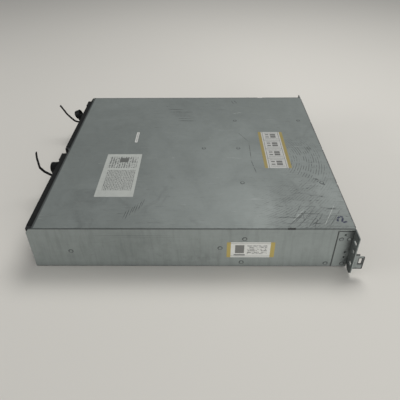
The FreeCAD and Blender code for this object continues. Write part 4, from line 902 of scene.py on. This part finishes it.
class ARRAY_OT_modules(bpy.types.Operator):
    """Power supplies and controllers behind: housings, plates, sockets and levers"""
    bl_idname = "array.modules"
    bl_label = "Rear modules"

    def execute(self, context):
        plastic = props().plastic
        housing = moulded_look("powder_coat", plastic.powder, 0.56, 700.0, 0.4)
        plate = moulded_look("rear_plate_plastic", plastic.black, 0.52, 1300.0, 0.35)
        lever = moulded_look("lever_plastic", plastic.powder, 0.42, 1600.0, 0.25)
        strap = moulded_look("strap_nylon", plastic.black, 0.38, 500.0, 0.15)
        for side in SIDES:
            paint([f"psu_{side}_case", f"controller_{side}_case"], housing)
            paint([f"psu_{side}_bezel", f"psu_{side}_fan"], plate)
            paint([f"psu_{side}_catch", f"controller_{side}_lever_left",
                   f"controller_{side}_lever_right"], lever)
            paint([f"psu_{side}_strap", f"psu_{side}_clamp"], strap)
            paint([f"psu_{side}_inlet"], self.inlet(side))
            paint([f"controller_{side}_ports"], self.sockets(side))
        board = Look("board_green", Specular_IOR_Level=0.5, Roughness=0.42)
        tracks = (board.noise(1.0, 2.0, 0.4, at=board.stretched((60, 60, 420))) - 0.5).size()
        green = board.mix(tracks.rise(0.05, 0.02), (0.012, 0.060, 0.030), (0.030, 0.115, 0.055))
        paint(["midplane_board"], board.set(Base_Color=green))
        paint(["midplane_connectors"], plate)
        self.teeth(strap)
        self.collars(strap)
        self.lenses()
        self.screws()
        return {"FINISHED"}

    def teeth(self, material):
        """Ratchet teeth on the straps' inner side, clear of their bends and of the clamps."""
        tooth = primitive("cube", "tooth", size=1, scale=(3.4 * MM, 1.3 * MM, 0.7 * MM),
                          location=(0, 0, 0.2 * MM))
        pick(lambda at, along: at.z > 0.5 * MM and at.y > 0.5 * MM, "EDGE")
        move(0, -0.2, -0.45)
        step = props().plastic.tooth_step
        for side in SIDES:
            low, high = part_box(f"psu_{side}_strap")
            at = STRAP_PIVOT + Vector(((low.x + high.x) / 2, 0, 0))
            made = []
            for order, (long, heading) in enumerate(STRAP_RUNS[side]):
                turn = math.radians(heading)
                ahead = Vector((0, math.cos(turn), math.sin(turn)))
                raised = Vector((0, -math.sin(turn), math.cos(turn))) * 0.8 * MM
                count = int((long * MM - 6.0 * MM) / step) if order else -1
                first = (long * MM - count * step) / 2
                made += [copy_piece(tooth, at + ahead * (first + n * step) + raised, (turn, 0, 0))
                         for n in range(count + 1)]
                at += ahead * long * MM
            whole = joined(made, f"psu_{side}_strap_teeth")
            finish_piece(whole, f"psu_{side}_strap", material)
        remove(tooth)

    def collars(self, material):
        """Beaded rims on each loop clamp's ring and a thumb piece with a sunken face on its neck.
        """
        rim = primitive("torus", "rim", major_radius=8.7 * MM, minor_radius=1.3 * MM,
                        major_segments=36, minor_segments=10,
                        location=(0, 4.6 * MM, 20.5 * MM), rotation=(math.pi / 2, 0, 0))
        # The rear bead lies flatter, 0.15 mm clear of the supply's plate.
        back = copy_piece(rim, (0, 0.85 * MM, 41.0 * MM), (math.pi, 0, 0))
        reopen(rim)
        pick(lambda at, normal: normal.y > 0.5)
        move(0, 0.9, 0)
        thumb = primitive("cube", "thumb", size=1, scale=(6.4 * MM, 3.6 * MM, 6.0 * MM),
                          location=(0, 6.0 * MM, 7.2 * MM))
        pick(lambda at, normal: normal.z > 0.9)
        move(0, 0.9, 0)
        pick(lambda at, normal: normal.y > 0.7)
        bpy.ops.mesh.inset(thickness=0.9 * MM)
        move(0, -0.4, 0)
        rounded(0.3 * MM)
        master = joined([rim, back, thumb], "clamp_collar")
        for side in SIDES:
            low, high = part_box(f"psu_{side}_strap")
            turn = math.radians(STRAP_RUNS[side][0][1])
            along = Vector(((low.x + high.x) / 2, math.cos(turn) * CLAMP_AT[side],
                            math.sin(turn) * CLAMP_AT[side]))
            made = copy_piece(master, STRAP_PIVOT + along, (turn, 0, 0),
                              f"psu_{side}_clamp_collar")
            finish_piece(made, f"psu_{side}_clamp", material, 40)
        remove(master)

    def lenses(self):
        """Status lenses: three above the sockets of each controller, one on each supply."""
        clear = lens_look("lens_clear", 0.22, (0.16, 0.20, 0.16), (0.34, 0.38, 0.33))
        lens = button("lens", 16, 1.2, 1.0, [(0.4, 0.15)])
        for side in SIDES:
            low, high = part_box(f"controller_{side}_ports")
            made = [copy_piece(lens, (high.x - (3 + 7 * n) * MM, high.y + 1.1 * MM, 37.8 * MM))
                    for n in range(3)]
            whole = joined(made, f"controller_{side}_lenses")
            finish_piece(whole, f"controller_{side}", clear, 40)
            low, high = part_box(f"psu_{side}_inlet")
            made = copy_piece(lens, (low.x - 6.5 * MM, PLATE_PIECES * MM, 50.5 * MM),
                              name=f"psu_{side}_lens")
            finish_piece(made, f"psu_{side}", clear, 40)
        remove(lens)

    def screws(self):
        """Countersunk socket screws in the outer corners of each supply's rear plate."""
        screw = button("screw", 18, 2.2, 0.8, [(0.35, 0.2), (0.75, -0.5)])
        material = steel_look("zinc_screw", 0.7)
        for side in SIDES:
            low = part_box(f"psu_{side}_bezel")[0]
            made = [copy_piece(screw, (low.x + 4.2 * MM, PLATE_PIECES * MM, rise * MM))
                    for rise in (48.5, 81)]
            whole = joined(made, f"psu_{side}_screws")
            finish_piece(whole, f"psu_{side}", material, 40)
        remove(screw)

    def sockets(self, side):
        """Plated shells, black inside, with rows of gilt contacts on the back wall."""
        low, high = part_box(f"controller_{side}_ports")
        look = Look(f"sockets_{side}")
        x, y, z = look.millimetres((0, low.y, low.z))
        inside = y.below((high.y - low.y) * 1000 - 0.6)
        contact = x.repeat(1.3).below(0.28) * z.between(5.0, 12.5) * y.below(4.5)
        haze = look.noise(300.0, 3.0, 0.6)
        shell = look.mix(haze, (0.36, 0.37, 0.36), (0.26, 0.27, 0.26))
        shell = look.mix(inside, shell, (0.018, 0.018, 0.018))
        look.set(Metallic=(1.0 - inside).most(contact) * 0.8)
        return look.done(look.mix(contact, shell, (0.24, 0.18, 0.08)), haze * 0.15 + 0.3,
                         haze, 0.1)

    def inlet(self, side):
        """Glossy black socket with three nickel blades."""
        low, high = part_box(f"psu_{side}_inlet")
        cx, cz = (low.x + high.x) / 2, (low.z + high.z) / 2
        look = Look(f"inlet_{side}", Specular_IOR_Level=0.5)
        dx, y, dz = look.millimetres((cx, 0, cz))
        outer = dx.size().near(6.1, 1.05) * dz.near(-2.0, 2.05)
        inner = dx.near(0.0, 1.05) * dz.near(2.0, 2.05)
        inside = y.between(high.y * 1000 - 15.2, high.y * 1000 - 3.0)
        blade = outer.most(inner) * inside
        haze = look.noise(300.0, 3.0, 0.6)
        black = look.mix(haze, (0.014, 0.014, 0.015), (0.03, 0.03, 0.03))
        return look.set(Base_Color=look.mix(blade, black, (0.55, 0.54, 0.50)),
                        Metallic=blade * 0.95, Roughness=haze * 0.15 + 0.26)


# The fitted camera: its place in metres, then yaw from +X, downward pitch and roll in degrees.
CAMERA_AT = (-0.6727, -0.0233, 0.5355)
CAMERA_TURN = (0.87, 34.29, -0.58)


class ARRAY_OT_stage(bpy.types.Operator):
    """Pale floor, soft overhead lamp, even world light and the photograph's camera"""
    bl_idname = "array.stage"
    bl_label = "Studio stage"

    def execute(self, context):
        stage = props().stage
        unpick()
        bpy.ops.mesh.primitive_plane_add(size=9, location=(1.2, 0, 0))
        floor = bpy.context.object
        floor.name = "floor"
        look = Look("floor_paper", Roughness=0.85, Specular_IOR_Level=0.2)
        shade = look.noise(1.6, 3.0, 0.5)
        paper = look.mix(shade, stage.floor, toned(stage.floor, 0.965))
        # Darker paper in front of the low fill lamp, behind the camera, so nothing there glares.
        near_lamp = look.patch(look.x, look.y, (-2.8, -0.85), (1.25, 1.7))
        paper = look.mix(near_lamp, paper, toned(stage.floor, 0.12))
        floor.data.materials.append(look.set(Base_Color=paper))

        self.lamp("overhead_lamp", (0.52, -0.42, 1.65), (0.1, -0.15, 0), (1.2, 0.75), stage.key)
        self.lamp("fill_lamp", (-1.75, -1.05, 0.22), (-0.2, -0.1, 0.06), (1.6, 0.36), stage.fill)
        self.lamp("rear_lamp", (-0.6, 2.4, 0.85), (-0.1, 0, 0.05), (1.6, 0.8), stage.back)

        world = bpy.data.worlds.new("even_light")
        context.scene.world = world
        world.use_nodes = True
        ground = world.node_tree.nodes["Background"]
        ground.inputs["Color"].default_value = (0.96, 0.98, 1.0, 1)
        ground.inputs["Strength"].default_value = stage.sky
        context.scene.view_settings.view_transform = "Standard"

        bpy.ops.object.camera_add()
        camera = bpy.context.object
        camera.name = "photo_camera"
        yaw, pitch, roll = (math.radians(part) for part in CAMERA_TURN)
        camera.matrix_world = (Matrix.Translation(CAMERA_AT)
                               @ Matrix.Rotation(yaw - math.pi / 2, 4, "Z")
                               @ Matrix.Rotation(math.pi / 2 - pitch, 4, "X")
                               @ Matrix.Rotation(roll, 4, "Z"))
        camera.data.sensor_width = 36
        camera.data.lens = stage.lens
        camera.data.shift_y = stage.shift
        camera.data.clip_start, camera.data.clip_end = 0.01, 50
        context.scene.camera = camera
        return {"FINISHED"}

    def lamp(self, name, place, aim, size, power):
        """A rectangular soft lamp that points at a place."""
        unpick()
        bpy.ops.object.light_add(type="AREA", location=place)
        lamp = bpy.context.object
        lamp.name = name
        lamp.data.shape = "RECTANGLE"
        lamp.data.size, lamp.data.size_y = size
        lamp.data.energy = power
        lamp.data.color = (1.0, 0.985, 0.965)
        lamp.visible_camera = False
        ahead = Vector(aim) - Vector(place)
        lamp.rotation_euler = ahead.to_track_quat("-Z", "Y").to_euler()


class ARRAY_PT_panel(bpy.types.Panel):
    """The array's sizes, colours and steps in the 3D view's sidebar"""
    bl_idname = "ARRAY_PT_panel"
    bl_label = "Storage array"
    bl_space_type = "VIEW_3D"
    bl_region_type = "UI"
    bl_category = "Array"

    def draw(self, context):
        settings = context.scene.storage_array
        for group in ("steel", "plastic", "stickers", "stage"):
            box = self.layout.box()
            box.label(text=group.capitalize())
            held = getattr(settings, group)
            for name in held.bl_rna.properties.keys():
                if name not in ("rna_type", "name"):
                    box.prop(held, name)
        for step in STEPS:
            self.layout.operator(step.bl_idname)


GROUPS = (ARRAY_PG_steel, ARRAY_PG_plastic, ARRAY_PG_stickers, ARRAY_PG_stage, ARRAY_PG_all)
STEPS = (ARRAY_OT_enclosure, ARRAY_OT_rivets, ARRAY_OT_stickers, ARRAY_OT_drives,
         ARRAY_OT_modules, ARRAY_OT_stage)


def register():
    for item in (*GROUPS, *STEPS, ARRAY_PT_panel):
        bpy.utils.register_class(item)
    bpy.types.Scene.storage_array = PointerProperty(type=ARRAY_PG_all)


def unregister():
    del bpy.types.Scene.storage_array
    for item in reversed((*GROUPS, *STEPS, ARRAY_PT_panel)):
        bpy.utils.unregister_class(item)


def main():
    """Register the add-on and run its steps in order."""
    register()
    for step in STEPS:
        group, name = step.bl_idname.split(".")
        getattr(getattr(bpy.ops, group), name)()


if __name__ == "__main__":
    main()
